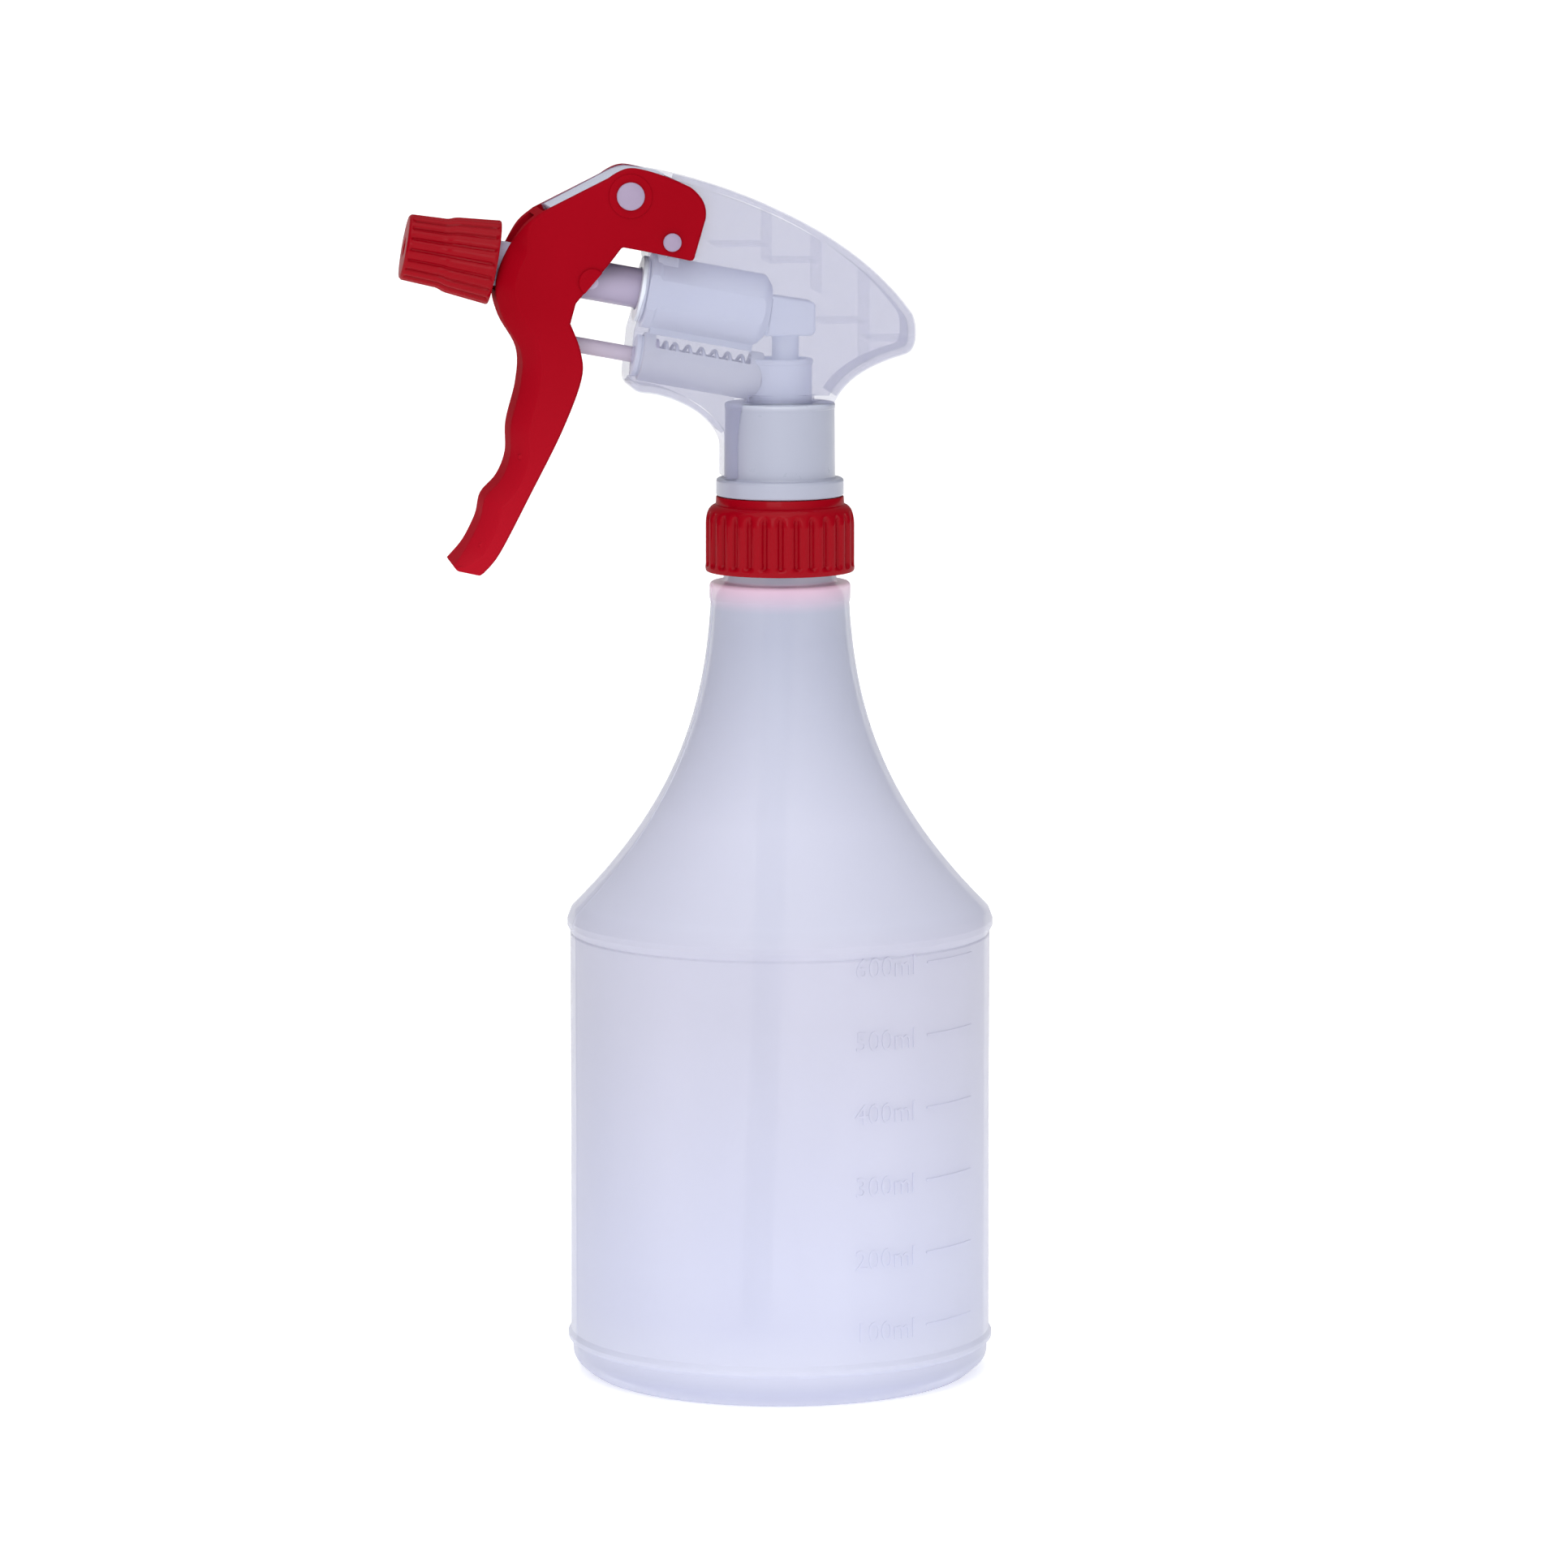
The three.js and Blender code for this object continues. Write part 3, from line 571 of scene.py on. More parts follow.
def milky_plastic():
    """Natural polyethylene: nearly opaque, painted lighter above the socket to make up for the shade that
    the shroud's walls cast on the parts inside, with a faint painted highlight on the socket's top edge
    where the change starts.
    """

    def painted_light_above(nodes, cloud, neck):
        # painted light: a much lighter colour for the parts above the socket, inside the shroud
        upper = nodes.mix(cloud, (0.82, 0.87, 0.97), (0.86, 0.91, 1.0))
        return nodes.mix(nodes.mapped(nodes.along("Z"), 0, 1, 0.2160, 0.2186), neck, upper)

    return moulded(
        "milky_plastic", (0.42, 0.44, 0.55), (0.39, 0.41, 0.51), (0.27, 0.36), grain=0.006, sink=0.03,
        change=painted_light_above, specular=0.45, coat=(0.2, 0.15),
    )


def milky_shroud():
    """Natural polypropylene with a thin wall: half clear, with a moulded gloss."""
    return moulded(
        "milky_shroud", (0.445, 0.45, 0.62), (0.425, 0.43, 0.60), (0.21, 0.32), grain=0.003, sink=0.02,
        alpha=0.27, specular=0.0, coat=(0.15, 0.12),
    )


def chamber_plastic():
    """The spring chamber's plastic, half hiding the coils inside."""
    return moulded(
        "chamber_plastic", (0.95, 0.97, 1.0), (0.91, 0.93, 0.97), (0.25, 0.36), grain=0.004, sink=0.02,
        alpha=0.7,
    )


def clear_web():
    """The shroud's plastic in its thin inner webs."""
    return moulded(
        "clear_web", (0.58, 0.59, 0.80), (0.55, 0.56, 0.77), (0.25, 0.36), grain=0.003, sink=0.02,
        alpha=0.11,
    )


def natural_tube():
    """The dip tube's clear plastic."""
    return moulded(
        "natural_tube", (0.66, 0.74, 0.90), (0.62, 0.70, 0.87), (0.21, 0.32), grain=0.003, sink=0.01,
        alpha=0.62, specular=0.4,
    )


def frosted_body():
    """Blown polyethylene: fine matt frost, faint vertical draw lines and thickness clouding.

    Its colour changes with height: painted shade darkens the upper body, it is lighter above the shoulder
    bead and darker again up the shoulder to the neck, a painted red reflection of the nut tints the collar,
    and near the foot a band is painted lighter for the floor's light, with painted shade at the very bottom.
    """
    material, nodes = new_material("frosted_body")
    height = nodes.along("Z")
    cloud = nodes.mapped(nodes.noise(22, 3, (1, 1, 0.3)), 0, 1)
    wall = nodes.mix(cloud, (0.73, 0.75, 0.93), (0.79, 0.81, 0.98))
    # painted shade: a darker wall colour for the upper body
    painted_shade_upper_wall = nodes.mix(cloud, (0.66, 0.665, 0.80), (0.725, 0.725, 0.865))
    changes = [
        (0.030, 0.085, painted_shade_upper_wall),
        # lighter above the shoulder bead, then darker up the shoulder to the neck
        (0.101, 0.106, (0.74, 0.755, 0.90)),
        (0.125, 0.165, (0.555, 0.58, 0.72)),
        # painted red reflection of the nut on the collar, then the finish's own colour above it
        (0.1715, 0.1765, (0.90, 0.64, 0.81)),
        (0.1772, 0.1780, (0.66, 0.68, 0.82)),
        # painted light from the floor in a band near the foot, and painted shade at the very bottom
        (0.018, 0.009, (0.80, 0.82, 0.97)),
        (0.0078, 0.004, (0.66, 0.68, 0.85)),
    ]
    for start, end, colour in changes:
        wall = nodes.mix(nodes.mapped(height, 0, 1, start, end), wall, colour)
    draw = nodes.noise(240, 2, (1, 1, 0.02))
    frost = nodes.noise(3200, 2)
    nodes.set(
        Base_Color=wall,
        Roughness=nodes.mapped(nodes.noise(300, 3), 0.40, 0.50),
        Normal=nodes.bump(frost, 0.006, below=nodes.bump(draw, 0.02)),
        Alpha=0.62,
        Specular_IOR_Level=0.35,
        Coat_Weight=0.25,
        Coat_Roughness=0.22,
    )
    return material


def seal_rubber():
    material, nodes = new_material("seal_rubber")
    bloom = nodes.mapped(nodes.noise(180, 4), 0, 1)
    nodes.set(
        Base_Color=nodes.mix(bloom, (0.018, 0.018, 0.020), (0.036, 0.036, 0.039)),
        Roughness=nodes.mapped(nodes.noise(700, 3), 0.62, 0.8),
        Normal=nodes.bump(nodes.noise(4200, 3), 0.012),
    )
    return material


def steel(name, rough, stretch, colour):
    """Bare steel with fine drawing or grinding marks."""
    material, nodes = new_material(name)
    marks = nodes.noise(2600, 3, stretch)
    worn = tuple(part * 0.85 for part in colour)
    nodes.set(
        Base_Color=nodes.mix(nodes.mapped(marks, 0, 1), colour, worn),
        Roughness=nodes.mapped(nodes.noise(500, 2), rough, rough + 0.12),
        Normal=nodes.bump(marks, 0.004),
        Metallic=1.0,
    )
    return material


# ---------------- bottle

PARTING_ANGLES = [math.radians(8), math.radians(188)]
PARTING_RIDGE = 0.14
FOOT_RADIUS = 42.0
PUSH_UP = 2.4  # how far the base is pushed up at its middle
SHOULDER = [
    (BODY_RADIUS - 0.25, SHOULDER_Z + 2.9),
    (24.0, 127),
    (16.8, 147),
    (COLLAR_RADIUS - 0.25, COLLAR_TOP - 4.6),
]


def from_parting(angle):
    return min(abs(angle - line) for line in PARTING_ANGLES)


def bottle_angles():
    """Even angles, with close ones beside each parting line so that it is a thin raised line."""
    even = [2 * math.pi * k / 180 for k in range(180)]
    close = [line + math.radians(step) for line in PARTING_ANGLES for step in (-0.5, -0.2, 0, 0.2, 0.5)]
    clear = [angle for angle in even if from_parting(angle) > math.radians(0.8)]
    return sorted(clear + close)


def parting_line(radius, height, angle):
    """A blown bottle's seam: a low ridge up both sides, from the base to the collar."""
    on_outside = radius > MOUTH_RADIUS + BOTTLE_WALL and height <= COLLAR_TOP
    if on_outside and from_parting(angle) <= math.radians(0.3):
        return radius + PARTING_RIDGE
    return radius


def bottle_profile():
    """The bottle's wall: the outside from the push-up under the base to the rim, then the inside back."""
    slope = [Vector(SHOULDER[0])] + bezier(*SHOULDER, steps=28)
    outside = rounded([
        (0, PUSH_UP, 0), (30, 2.0, 8), (37.5, 0, 1.5), (FOOT_RADIUS, 0, 3.0),
        (BODY_RADIUS - 0.5, 3.6, 3.0), (BODY_RADIUS - 0.35, 7.2, 0.3), (BEAD_RADIUS - 0.05, 8.0, 0.35),
        (BEAD_RADIUS - 0.05, 8.9, 0.35), (BODY_RADIUS, 9.9, 0.5), (BODY_RADIUS - 0.1, 55, 0),
        (BODY_RADIUS - 0.05, SHOULDER_Z - 2.6, 0.1), (BODY_RADIUS - 0.3, SHOULDER_Z - 2.2, 0.1),
        (BODY_RADIUS - 0.05, SHOULDER_Z - 1.8, 0.1), (BEAD_RADIUS - 0.1, SHOULDER_Z - 0.6, 0.6),
        (BEAD_RADIUS - 0.1, SHOULDER_Z + 0.7, 0.6), (BODY_RADIUS - 0.25, SHOULDER_Z + 2.9, 0),
    ], closed=False)[:-1] + slope
    collar = rounded([
        (COLLAR_RADIUS - 0.25, COLLAR_TOP - 4.6, 0), (COLLAR_RADIUS, COLLAR_TOP - 3.6, 0.4),
        (COLLAR_RADIUS, COLLAR_TOP, 0.9), (FINISH_RADIUS, COLLAR_TOP, 0.4),
        (FINISH_RADIUS, RIM_HEIGHT, 0.5), (MOUTH_RADIUS, RIM_HEIGHT, 0.3),
        (MOUTH_RADIUS, COLLAR_TOP + 1.3, 0.6), (COLLAR_RADIUS - 0.25 - BOTTLE_WALL, COLLAR_TOP - 3, 0),
    ], closed=False)[1:]
    inner_slope = offset(slope, -BOTTLE_WALL)[::-1]
    inside = rounded([
        (BODY_RADIUS - BOTTLE_WALL, SHOULDER_Z + 2, 0), (BODY_RADIUS - BOTTLE_WALL, 5.0, 2.5),
        (FOOT_RADIUS - BOTTLE_WALL, BOTTLE_WALL, 2.0), (37.5, BOTTLE_WALL, 1.5),
        (30, 2.0 + BOTTLE_WALL, 8), (0, PUSH_UP + BOTTLE_WALL, 0),
    ], closed=False)
    return outside + collar + inner_slope[2:-1] + inside


def bottle():
    shell = turned("bottle", bottle_profile(), sides=bottle_angles(), swell=parting_line)
    start = COLLAR_TOP + 3.4
    turns = 1.6
    helix = wound(FINISH_RADIUS + 0.1, start, start + turns * THREAD_PITCH, turns)
    return fuse(shell, sweep("bottle_thread", helix, 0.85))


# ---------------- scale on the bottle

SCALE_BASE = 16.8
SCALE_STEP = 16.1  # between 100 ml marks
SCALE_MARKS = 6
TEXT_HEIGHT = 4.4
SCALE_LIFT = 0.11
SCALE_DEPTH = -0.4
TICK_WIDTH = 0.44
TEXT_START = math.radians(-76.5)
TICK_START = math.radians(-53.5)
TICK_END = math.radians(-32.5)


def wrapped(x, height, lift):
    """A point on the bottle's side: x is the distance round it from where the numbers start."""
    radius = BODY_RADIUS + lift
    angle = TEXT_START + x / BODY_RADIUS
    return (radius * math.cos(angle), radius * math.sin(angle), height)


def raised_number(amount, height):
    """A moulded number on the bottle's side, as points and faces."""
    curve = bpy.data.curves.new("number", "FONT")
    curve.body = f"{amount}ml"
    curve.size = TEXT_HEIGHT / 0.7
    curve.extrude = 0.5
    curve.resolution_u = 3
    flat = added("number", curve)
    mesh = bpy.data.meshes.new_from_object(flat.evaluated_get(bpy.context.evaluated_depsgraph_get()))
    places = [vertex.co for vertex in mesh.vertices]
    points = [wrapped(p.x, height + p.y, SCALE_LIFT if p.z > 0 else SCALE_DEPTH) for p in places]
    faces = [list(face.vertices) for face in mesh.polygons]
    bpy.data.objects.remove(flat)
    return points, faces


def raised_tick(height):
    """A moulded line beside a number, as points and faces."""
    steps = 16
    low, high = height - TICK_WIDTH / 2, height + TICK_WIDTH / 2
    section = [(low, SCALE_DEPTH), (low, SCALE_LIFT), (high, SCALE_LIFT), (high, SCALE_DEPTH)]
    points = []
    for k in range(steps + 1):
        x = (TICK_START + (TICK_END - TICK_START) * k / steps - TEXT_START) * BODY_RADIUS
        points += [wrapped(x, side, lift) for side, lift in section]
    return points, skin(steps + 1, len(section))


def bottle_scale():
    """The 100 ml marks with their numbers."""
    points, faces = [], []
    for mark in range(SCALE_MARKS):
        height = SCALE_BASE + mark * SCALE_STEP
        number = raised_number(100 * (mark + 1), height - TEXT_HEIGHT / 2)
        for part_points, part_faces in (number, raised_tick(height)):
            start = len(points)
            points += part_points
            faces += [[corner + start for corner in face] for face in part_faces]
    return make("bottle_scale", points, faces)


# ---------------- closure and dip tube


def rib_height(angle, count, width):
    """From 0 between ribs to 1 on a rib's crest, for rounded ribs that take that share of their pitch."""
    phase = (angle * count / (2 * math.pi) + 0.5) % 1 - 0.5
    across = min(abs(phase) * 2 / width, 1)
    return math.sqrt(1 - across * across)


def fade(value, start, end):
    """0 before start, 1 after end, and a smooth rise between them."""
    share = min(max((value - start) / (end - start), 0), 1)
    return share * share * (3 - 2 * share)


def closure_nut():
    """The ribbed closure, with a rounded crown and a ledge close under the pump's flange."""
    depth = 0.95
    rib_top = NUT_TOP - 2.2
    ledge = FLANGE_BOTTOM - 0.12

    def ribbed(radius, height, angle):
        if radius <= FINISH_RADIUS + 1.8:
            return radius
        foot = fade(height, NUT_BOTTOM + 1.2, NUT_BOTTOM + 2.0)
        span = foot * (1 - fade(height, rib_top - 2.2, rib_top))
        return radius - depth * span * (1 - rib_height(angle, NUT_RIBS, 0.78))

    side = [(NUT_RADIUS, NUT_BOTTOM + 1.0 + 0.35 * k, 0) for k in range(1, 26)]
    crown = [Vector((NUT_RADIUS, NUT_TOP - 5.6))] + bezier(
        (NUT_RADIUS, NUT_TOP - 5.6), (NUT_RADIUS, NUT_TOP - 2.8),
        (NUT_RADIUS - 1.0, NUT_TOP - 1.4), (FLANGE_RADIUS + 0.1, NUT_TOP - 1.1), steps=16,
    )
    corners = [
        (FINISH_RADIUS + 1.4, NUT_BOTTOM, 0.3), (NUT_RADIUS - 0.1, NUT_BOTTOM, 0.5),
        (NUT_RADIUS, NUT_BOTTOM + 1.0, 0.2),
        *[point for point in side if point[1] < NUT_TOP - 5.7],
        *[(point.x, point.y, 0) for point in crown],
        (FLANGE_RADIUS, ledge, 0.25), (FLANGE_RADIUS - 1.2, ledge, 0.2),
        (FLANGE_RADIUS - 1.4, NUT_TOP, 0.1), (ADAPTER_RADIUS + 0.5, NUT_TOP, 0.3),
        (ADAPTER_RADIUS + 0.5, NUT_TOP - 2, 0.2), (FINISH_RADIUS + 0.4, NUT_TOP - 2, 0.4),
        (FINISH_RADIUS + 0.4, RIM_HEIGHT + 1.6, 0.2), (FINISH_RADIUS + 1.4, RIM_HEIGHT + 1.2, 0.2),
    ]
    return lathe("closure_nut", corners, steps=4, sides=NUT_RIBS * 12, swell=ribbed)


def dip_tube():
    """The tube, with its foot cut on the slant and the wall's thickness showing there."""
    line = spline([(0, 194), (0, 176), (-2.6, 95), (-5.6, 7)], steps=16)
    path = [(point.x, 0, point.y) for point in line]
    tube = sweep("dip_tube", path, 3.4, sides=32)
    longer = [(0, 0, 200)] + path + [(-6.2, 0, -10)]
    bore = sweep("dip_tube_bore", longer, 2.6, sides=32)
    slant = shifted(-5.6, 0, 9.5) @ Matrix.Rotation(math.radians(24), 4, "Y")
    return carve(tube, bore, block("dip_tube_foot", -8, 8, 8, -12, 0, place=slant))


def neck_gasket():
    return lathe("neck_gasket", [
        (9.6, RIM_HEIGHT + 0.3, 0.2), (12.4, RIM_HEIGHT + 0.3, 0.2),
        (12.4, RIM_HEIGHT + 1.5, 0.2), (9.6, RIM_HEIGHT + 1.5, 0.2),
    ])


# ---------------- pump body


def pump_neck():
    """From the tube in the bottle's neck up to the riser's collar, with both flanges and the socket."""
    inner_flange = NUT_TOP - 2.3
    return lathe("pump_body", [
        (0, ADAPTER_BOTTOM, 0), (ADAPTER_RADIUS, ADAPTER_BOTTOM, 0.4),
        (ADAPTER_RADIUS, RIM_HEIGHT + 1.8, 0.2), (12.4, RIM_HEIGHT + 1.8, 0.2),
        (12.4, inner_flange, 0.2), (ADAPTER_RADIUS, inner_flange, 0.2),
        (ADAPTER_RADIUS, FLANGE_BOTTOM, 0.2), (FLANGE_RADIUS, FLANGE_BOTTOM, 0.5),
        (FLANGE_RADIUS, FLANGE_TOP, 0.7), (SOCKET_RADIUS + 0.1, FLANGE_TOP, 0.5),
        (SOCKET_RADIUS, SOCKET_TOP - 1.3, 0.2), (SOCKET_RADIUS + 0.12, SOCKET_TOP - 1.1, 0.1),
        (SOCKET_RADIUS + 0.12, SOCKET_TOP, 0.55), (RISER_RADIUS + 0.9, SOCKET_TOP, 0.4),
        (RISER_RADIUS + 0.3, SOCKET_TOP - 0.9, 0.3), (RISER_RADIUS, SOCKET_TOP - 0.9, 0.3),
        (RISER_RADIUS, RISER_TOP - 1.2, 0.2), (RISER_RADIUS + 0.2, RISER_TOP - 1.0, 0.2),
        (RISER_RADIUS + 0.2, RISER_TOP, 0.5), (RISER_RADIUS - 1.3, RISER_TOP, 0.3),
        (RISER_RADIUS - 1.5, RISER_TOP - 0.8, 0.2), (0, RISER_TOP - 0.8, 0),
    ], steps=6, sides=128)


def pump_cylinder():
    """The cylinder: domed at the back, a collar at its mouth, and flat on both sides."""
    barrel = lathe("cylinder", [
        (0, CYLINDER_FRONT, 0), (CYLINDER_RADIUS, CYLINDER_FRONT, 0.5),
        (CYLINDER_RADIUS, CYLINDER_FRONT + 2.0, 0.2),
        (CYLINDER_RADIUS - 0.35, CYLINDER_FRONT + 2.5, 0.3),
        (CYLINDER_RADIUS - 0.35, CYLINDER_BACK - 1.8, 1.8), (CYLINDER_RADIUS - 2.6, CYLINDER_BACK, 1.4),
        (0, CYLINDER_BACK, 0),
    ], ALONG_BARREL, steps=7, sides=128)
    flats = block("flats", -10, 60, SHROUD_INNER - 0.4, -20, 20, 0.6, BARREL)
    return clip(barrel, flats)


def pump_body():
    """The pump's one-piece body: neck, riser, elbow, cylinder and the trigger's stop pad."""
    beside_axis = shifted(1.2, 0, 0)
    riser = rod("riser", 3, RISER_TOP - 3, 236, beside_axis)
    elbow = slab("elbow", rounded([
        (-4, 231.8, 0.6), (-2.6, 240.8, 0.6), (7.4, 239.2, 1.2), (7.4, 231.8, 1.4),
    ]), 4.6, 0.7)
    bridge = block("bridge", CHAMBER_FRONT + 1, CHAMBER_BACK - 3, 1.4, -10.4, -7.4, 0.2, BARREL)
    stop_pad = block("stop_pad", STOP.x - 2.4, STOP.x + 2.2, 5, 245, STOP.z - 2.75, 0.4)
    body = fuse(pump_neck(), riser, elbow, pump_cylinder(), bridge, stop_pad)
    return carve(
        body,
        rod("piston_bore", CYLINDER_BORE, CYLINDER_FRONT - 1, CYLINDER_BACK - 2.2, ALONG_BARREL),
        rod("chamber_space", CHAMBER_RADIUS + 0.02, CHAMBER_FRONT - 1, CHAMBER_BACK + 0.02, ALONG_SPRING),
        rod("adapter_bore", 6.5, ADAPTER_BOTTOM - 1, BALL_SEAT + 7),
        rod("ball_space", 4.2, BALL_SEAT + 6, BALL_SEAT + 10),
        rod("riser_bore", RISER_BORE, BALL_SEAT + 9, 237, beside_axis, sides=32),
        rod("cross_bore", RISER_BORE, CYLINDER_BACK - 4, CYLINDER_BACK + 4.6, ALONG_BARREL, sides=32),
    )


def spring_chamber():
    """The return spring's clear chamber, open along its top on both sides, where its coils show."""
    chamber = rod("spring_chamber", CHAMBER_RADIUS, CHAMBER_FRONT, CHAMBER_BACK, ALONG_SPRING, edge=0.5)
    opening = block("opening", CHAMBER_FRONT + 2.6, CHAMBER_BACK - 3, 12, 2.6, 8, 0.4, SPRING)
    bore = rod("spring_bore", CHAMBER_BORE, CHAMBER_FRONT - 1, CHAMBER_BACK - 1.6, ALONG_SPRING)
    return carve(chamber, bore, opening)


def inlet_valve_seat():
    bottom = ADAPTER_BOTTOM - 1.5
    plug = 6.2
    return lathe("inlet_valve_seat", [
        (3.7, bottom, 0.2), (plug + 1.4, bottom, 0.3), (plug + 1.4, ADAPTER_BOTTOM - 0.3, 0.3),
        (plug, ADAPTER_BOTTOM - 0.3, 0.1), (plug, BALL_SEAT + 6.7, 0.4), (4.1, BALL_SEAT + 6.7, 0.2),
        (4.1, BALL_SEAT + 0.8, 0.2), (2, BALL_SEAT, 0.2), (2, 194.3, 0.2), (3.7, 194.3, 0.1),
    ])


def ball(name, radius, place):
    half_turn = [math.pi * k / 32 for k in range(33)]
    profile = [(radius * math.sin(turn), -radius * math.cos(turn)) for turn in half_turn]
    return turned(name, profile, place, sides=64)


# ---------------- shroud

GUSSET_END = -6.0  # the shroud's skirt runs on to here beside the round socket
SKIRT_FRONT = -12.7
SKIRT_BOTTOM = FLANGE_TOP + 0.4
SKIRT_HALF_WIDTH = 7.0
SHROUD_MOUTH = [
    (-34.3, 223.4, 0), (-33.2, 233.4, 1), (-30.6, 241.8, 2), (-29.7, 248.6, 1.5), (-30.2, 252.4, 1.2),
    (-38, 255, 3), (-46.8, 257, 1), (-48.4, 260.6, 0.4), (-51.4, 259.3, 0.2), (-51.9, 260.6, 0),
]
CHIN_END = Vector((-40, 223.4))
ROOF_END = Vector((-60, 256))
WEB_THICKNESS = 0.54
UPRIGHT_WEBS = [(-3, 248.0), (8, 241.4), (18.6, 215)]  # x, and where the web's foot is
LEVEL_WEBS = [(-15, -3, 252), (-3, 8, 248.4), (8, 18.6, 235), (18.6, 34, 231)]  # from x to x, and height


def shroud_wall():
    """The shroud's wall in side view: over the roof, down the tail, along the neck and up the chin."""
    shelf = SOCKET_TOP + 0.3
    roof_and_tail = [
        ((-47.5, 262.8), (-43.0, 265.1), (-38.6, 267.4), 4),
        ((-36.6, 268.5), (-34.9, 269.1), (-33.5, 269.1), 6),
        ((-23, 268.3), (12, 260), (28.3, 236.9), 30),
        ((28.8, 235.9), (29.1, 234.4), (29.1, 232.5), 6),
        ((29.1, 229.8), (28.2, 228.2), (26.5, 227.8), 8),
        ((20, 226), (13.5, 223), (11, shelf), 12),
    ]
    skirt = [
        (GUSSET_END, shelf), (GUSSET_END, SKIRT_BOTTOM), (SKIRT_FRONT, SKIRT_BOTTOM), (SKIRT_FRONT, 207.5),
    ]
    chin = [
        ((-13.4, 213), (-23.5, 219.6), (-31.2, 219.9), 16),
        ((-33.2, 220.1), (-34.3, 221.2), (-34.3, 223.4), 6),
    ]
    line = [Vector((-51.9, 260.6))]
    for b, c, d, steps in roof_and_tail:
        line += bezier(line[-1], b, c, d, steps)
    line += [Vector(corner) for corner in skirt]
    for b, c, d, steps in chin:
        line += bezier(line[-1], b, c, d, steps)
    return line


def inside_of_wall(name, depth, half_width, edge, steps):
    """The space inside the shroud's wall, from a depth in it, and open at its mouth."""
    outline = [ROOF_END] + offset(shroud_wall(), depth) + [CHIN_END]
    return slab(name, outline, half_width, edge, steps=steps)


def taper(name, upper, lower):
    """A solid, across the shroud, that is narrower at the neck: for trimming both of its sides."""
    half = [Vector((lower, 190)), Vector((lower, 208))]
    half += bezier((lower, 208), (lower, 216), (upper, 216), (upper, 226), 12)
    half += [Vector((upper, 300))]
    outline = half + [Vector((-point.x, point.y)) for point in half[::-1]]
    return slab(name, outline, 80, 0.0, Matrix.Rotation(math.pi / 2, 4, "Z"), steps=1)


def stop_slot():
    """The slot in both sides that the trigger's stop pin runs in."""
    reach_out = STOP - PIVOT
    arm = math.hypot(reach_out.x, reach_out.z)
    first = math.atan2(reach_out.z, reach_out.x) - 0.2
    last = first + math.radians(22) + 0.4
    turns = [first + (last - first) * k / 16 for k in range(17)]
    pivot = Vector((PIVOT.x, PIVOT.z))
    outline = [on_circle(pivot, arm + 2.2, turn) for turn in turns]
    outline += [on_circle(pivot, arm - 2.2, turn) for turn in turns[::-1]]
    return slab("stop_slot", outline, 20, 0.0, steps=1)


def shroud():
    """The shroud: a hollow shell, open in front, that narrows to a skirt around the socket."""
    mouth = rounded(SHROUD_MOUTH, closed=False)[1:-1]
    shell = slab("shroud", shroud_wall() + mouth, SHROUD_OUTER, 0.45, steps=4)
    shell = clip(shell, taper("taper", SHROUD_OUTER + 0.1, SKIRT_HALF_WIDTH))
    hollow = inside_of_wall("hollow", SHROUD_WALL, SHROUD_INNER, 0.3, steps=3)
    hollow = clip(hollow, taper("inner_taper", SHROUD_INNER + 0.1, SKIRT_HALF_WIDTH - 1.2))
    return carve(
        shell,
        hollow,
        rod("collar_hole", RISER_RADIUS + 0.5, SOCKET_TOP - 10, RISER_TOP + 2),
        rod("socket_hole", SOCKET_RADIUS + 0.25, SOCKET_TOP - 20, SOCKET_TOP + 0.3, sides=128),
        rod("chamber_hole", CHAMBER_RADIUS + 0.35, CHAMBER_FRONT - 4, CHAMBER_BACK + 1, ALONG_SPRING),
        rod("pin_hole", 2.7, -20, 20, across(PIVOT)),
        stop_slot(),
    )


def shroud_ribs():
    """Stiffening webs inside the shroud, from side to side: upright ones, and level ones between them."""
    half = WEB_THICKNESS / 2
    webs = [block("shroud_ribs", x - half, x + half, 12, foot, 275, 0.05) for x, foot in UPRIGHT_WEBS]
    webs += [block("web", x0, x1, 12, z - half, z + half, 0.05) for x0, x1, z in LEVEL_WEBS]
    return clip(fuse(*webs), inside_of_wall("inside", SHROUD_WALL - 0.3, SHROUD_INNER + 0.3, 0.0, steps=1))


def roof_lining():
    """The thicker, cloudier plastic under the front of the roof, between the trigger's cheeks."""
    line = shroud_wall()
    roof = [line[0].lerp(line[1], 0.15)] + line[1:16]
    outline = offset(roof, 0.25) + offset(roof, 1.3)[::-1]
    return slab("roof_lining", outline, SHROUD_OUTER - 0.3, 0.2, steps=2)


def rim_core():
    """The tinted middle of the shroud's thick rim, from the roof round the tail, and along the chin."""
    line = shroud_wall()
    bands = []
    for part in (line[17:66], line[73:91]):
        outline = offset(part, 0.3) + offset(part, SHROUD_WALL - 0.3)[::-1]
        bands.append(slab("rim_core", outline, SHROUD_OUTER - 0.3, 0.2, steps=2))
    trim = taper("trim", SHROUD_OUTER - 0.2, SKIRT_HALF_WIDTH - 0.3)
    return clip(fuse(*bands), trim)


# ---------------- trigger

TRIGGER_FRONT = [
    (-73.1, 182.6), (-69.9, 186.8), (-67.1, 192.4), (-65.9, 197.2), (-62.4, 201.2),
    (-60.4, 206.3), (-60.2, 213), (-58, 221.9), (-57.9, 229.2), (-61.8, 236.4),
    (-63.3, 243), (-61.8, 249.2), (-57.6, 256.2), (-53.6, 259.7),
]
TRIGGER_REAR = [
    (-47.3, 235.4), (-45.1, 229.4), (-44.9, 223.2), (-49.2, 211.9),
    (-56.3, 197.9), (-62.9, 185.4), (-66.5, 181),
]
WEB = 2.2  # thickness of the wall that joins the two cheeks
LUG_PLACE = BARREL @ shifted(LUG_X, 0, 0) @ ALONG_Y


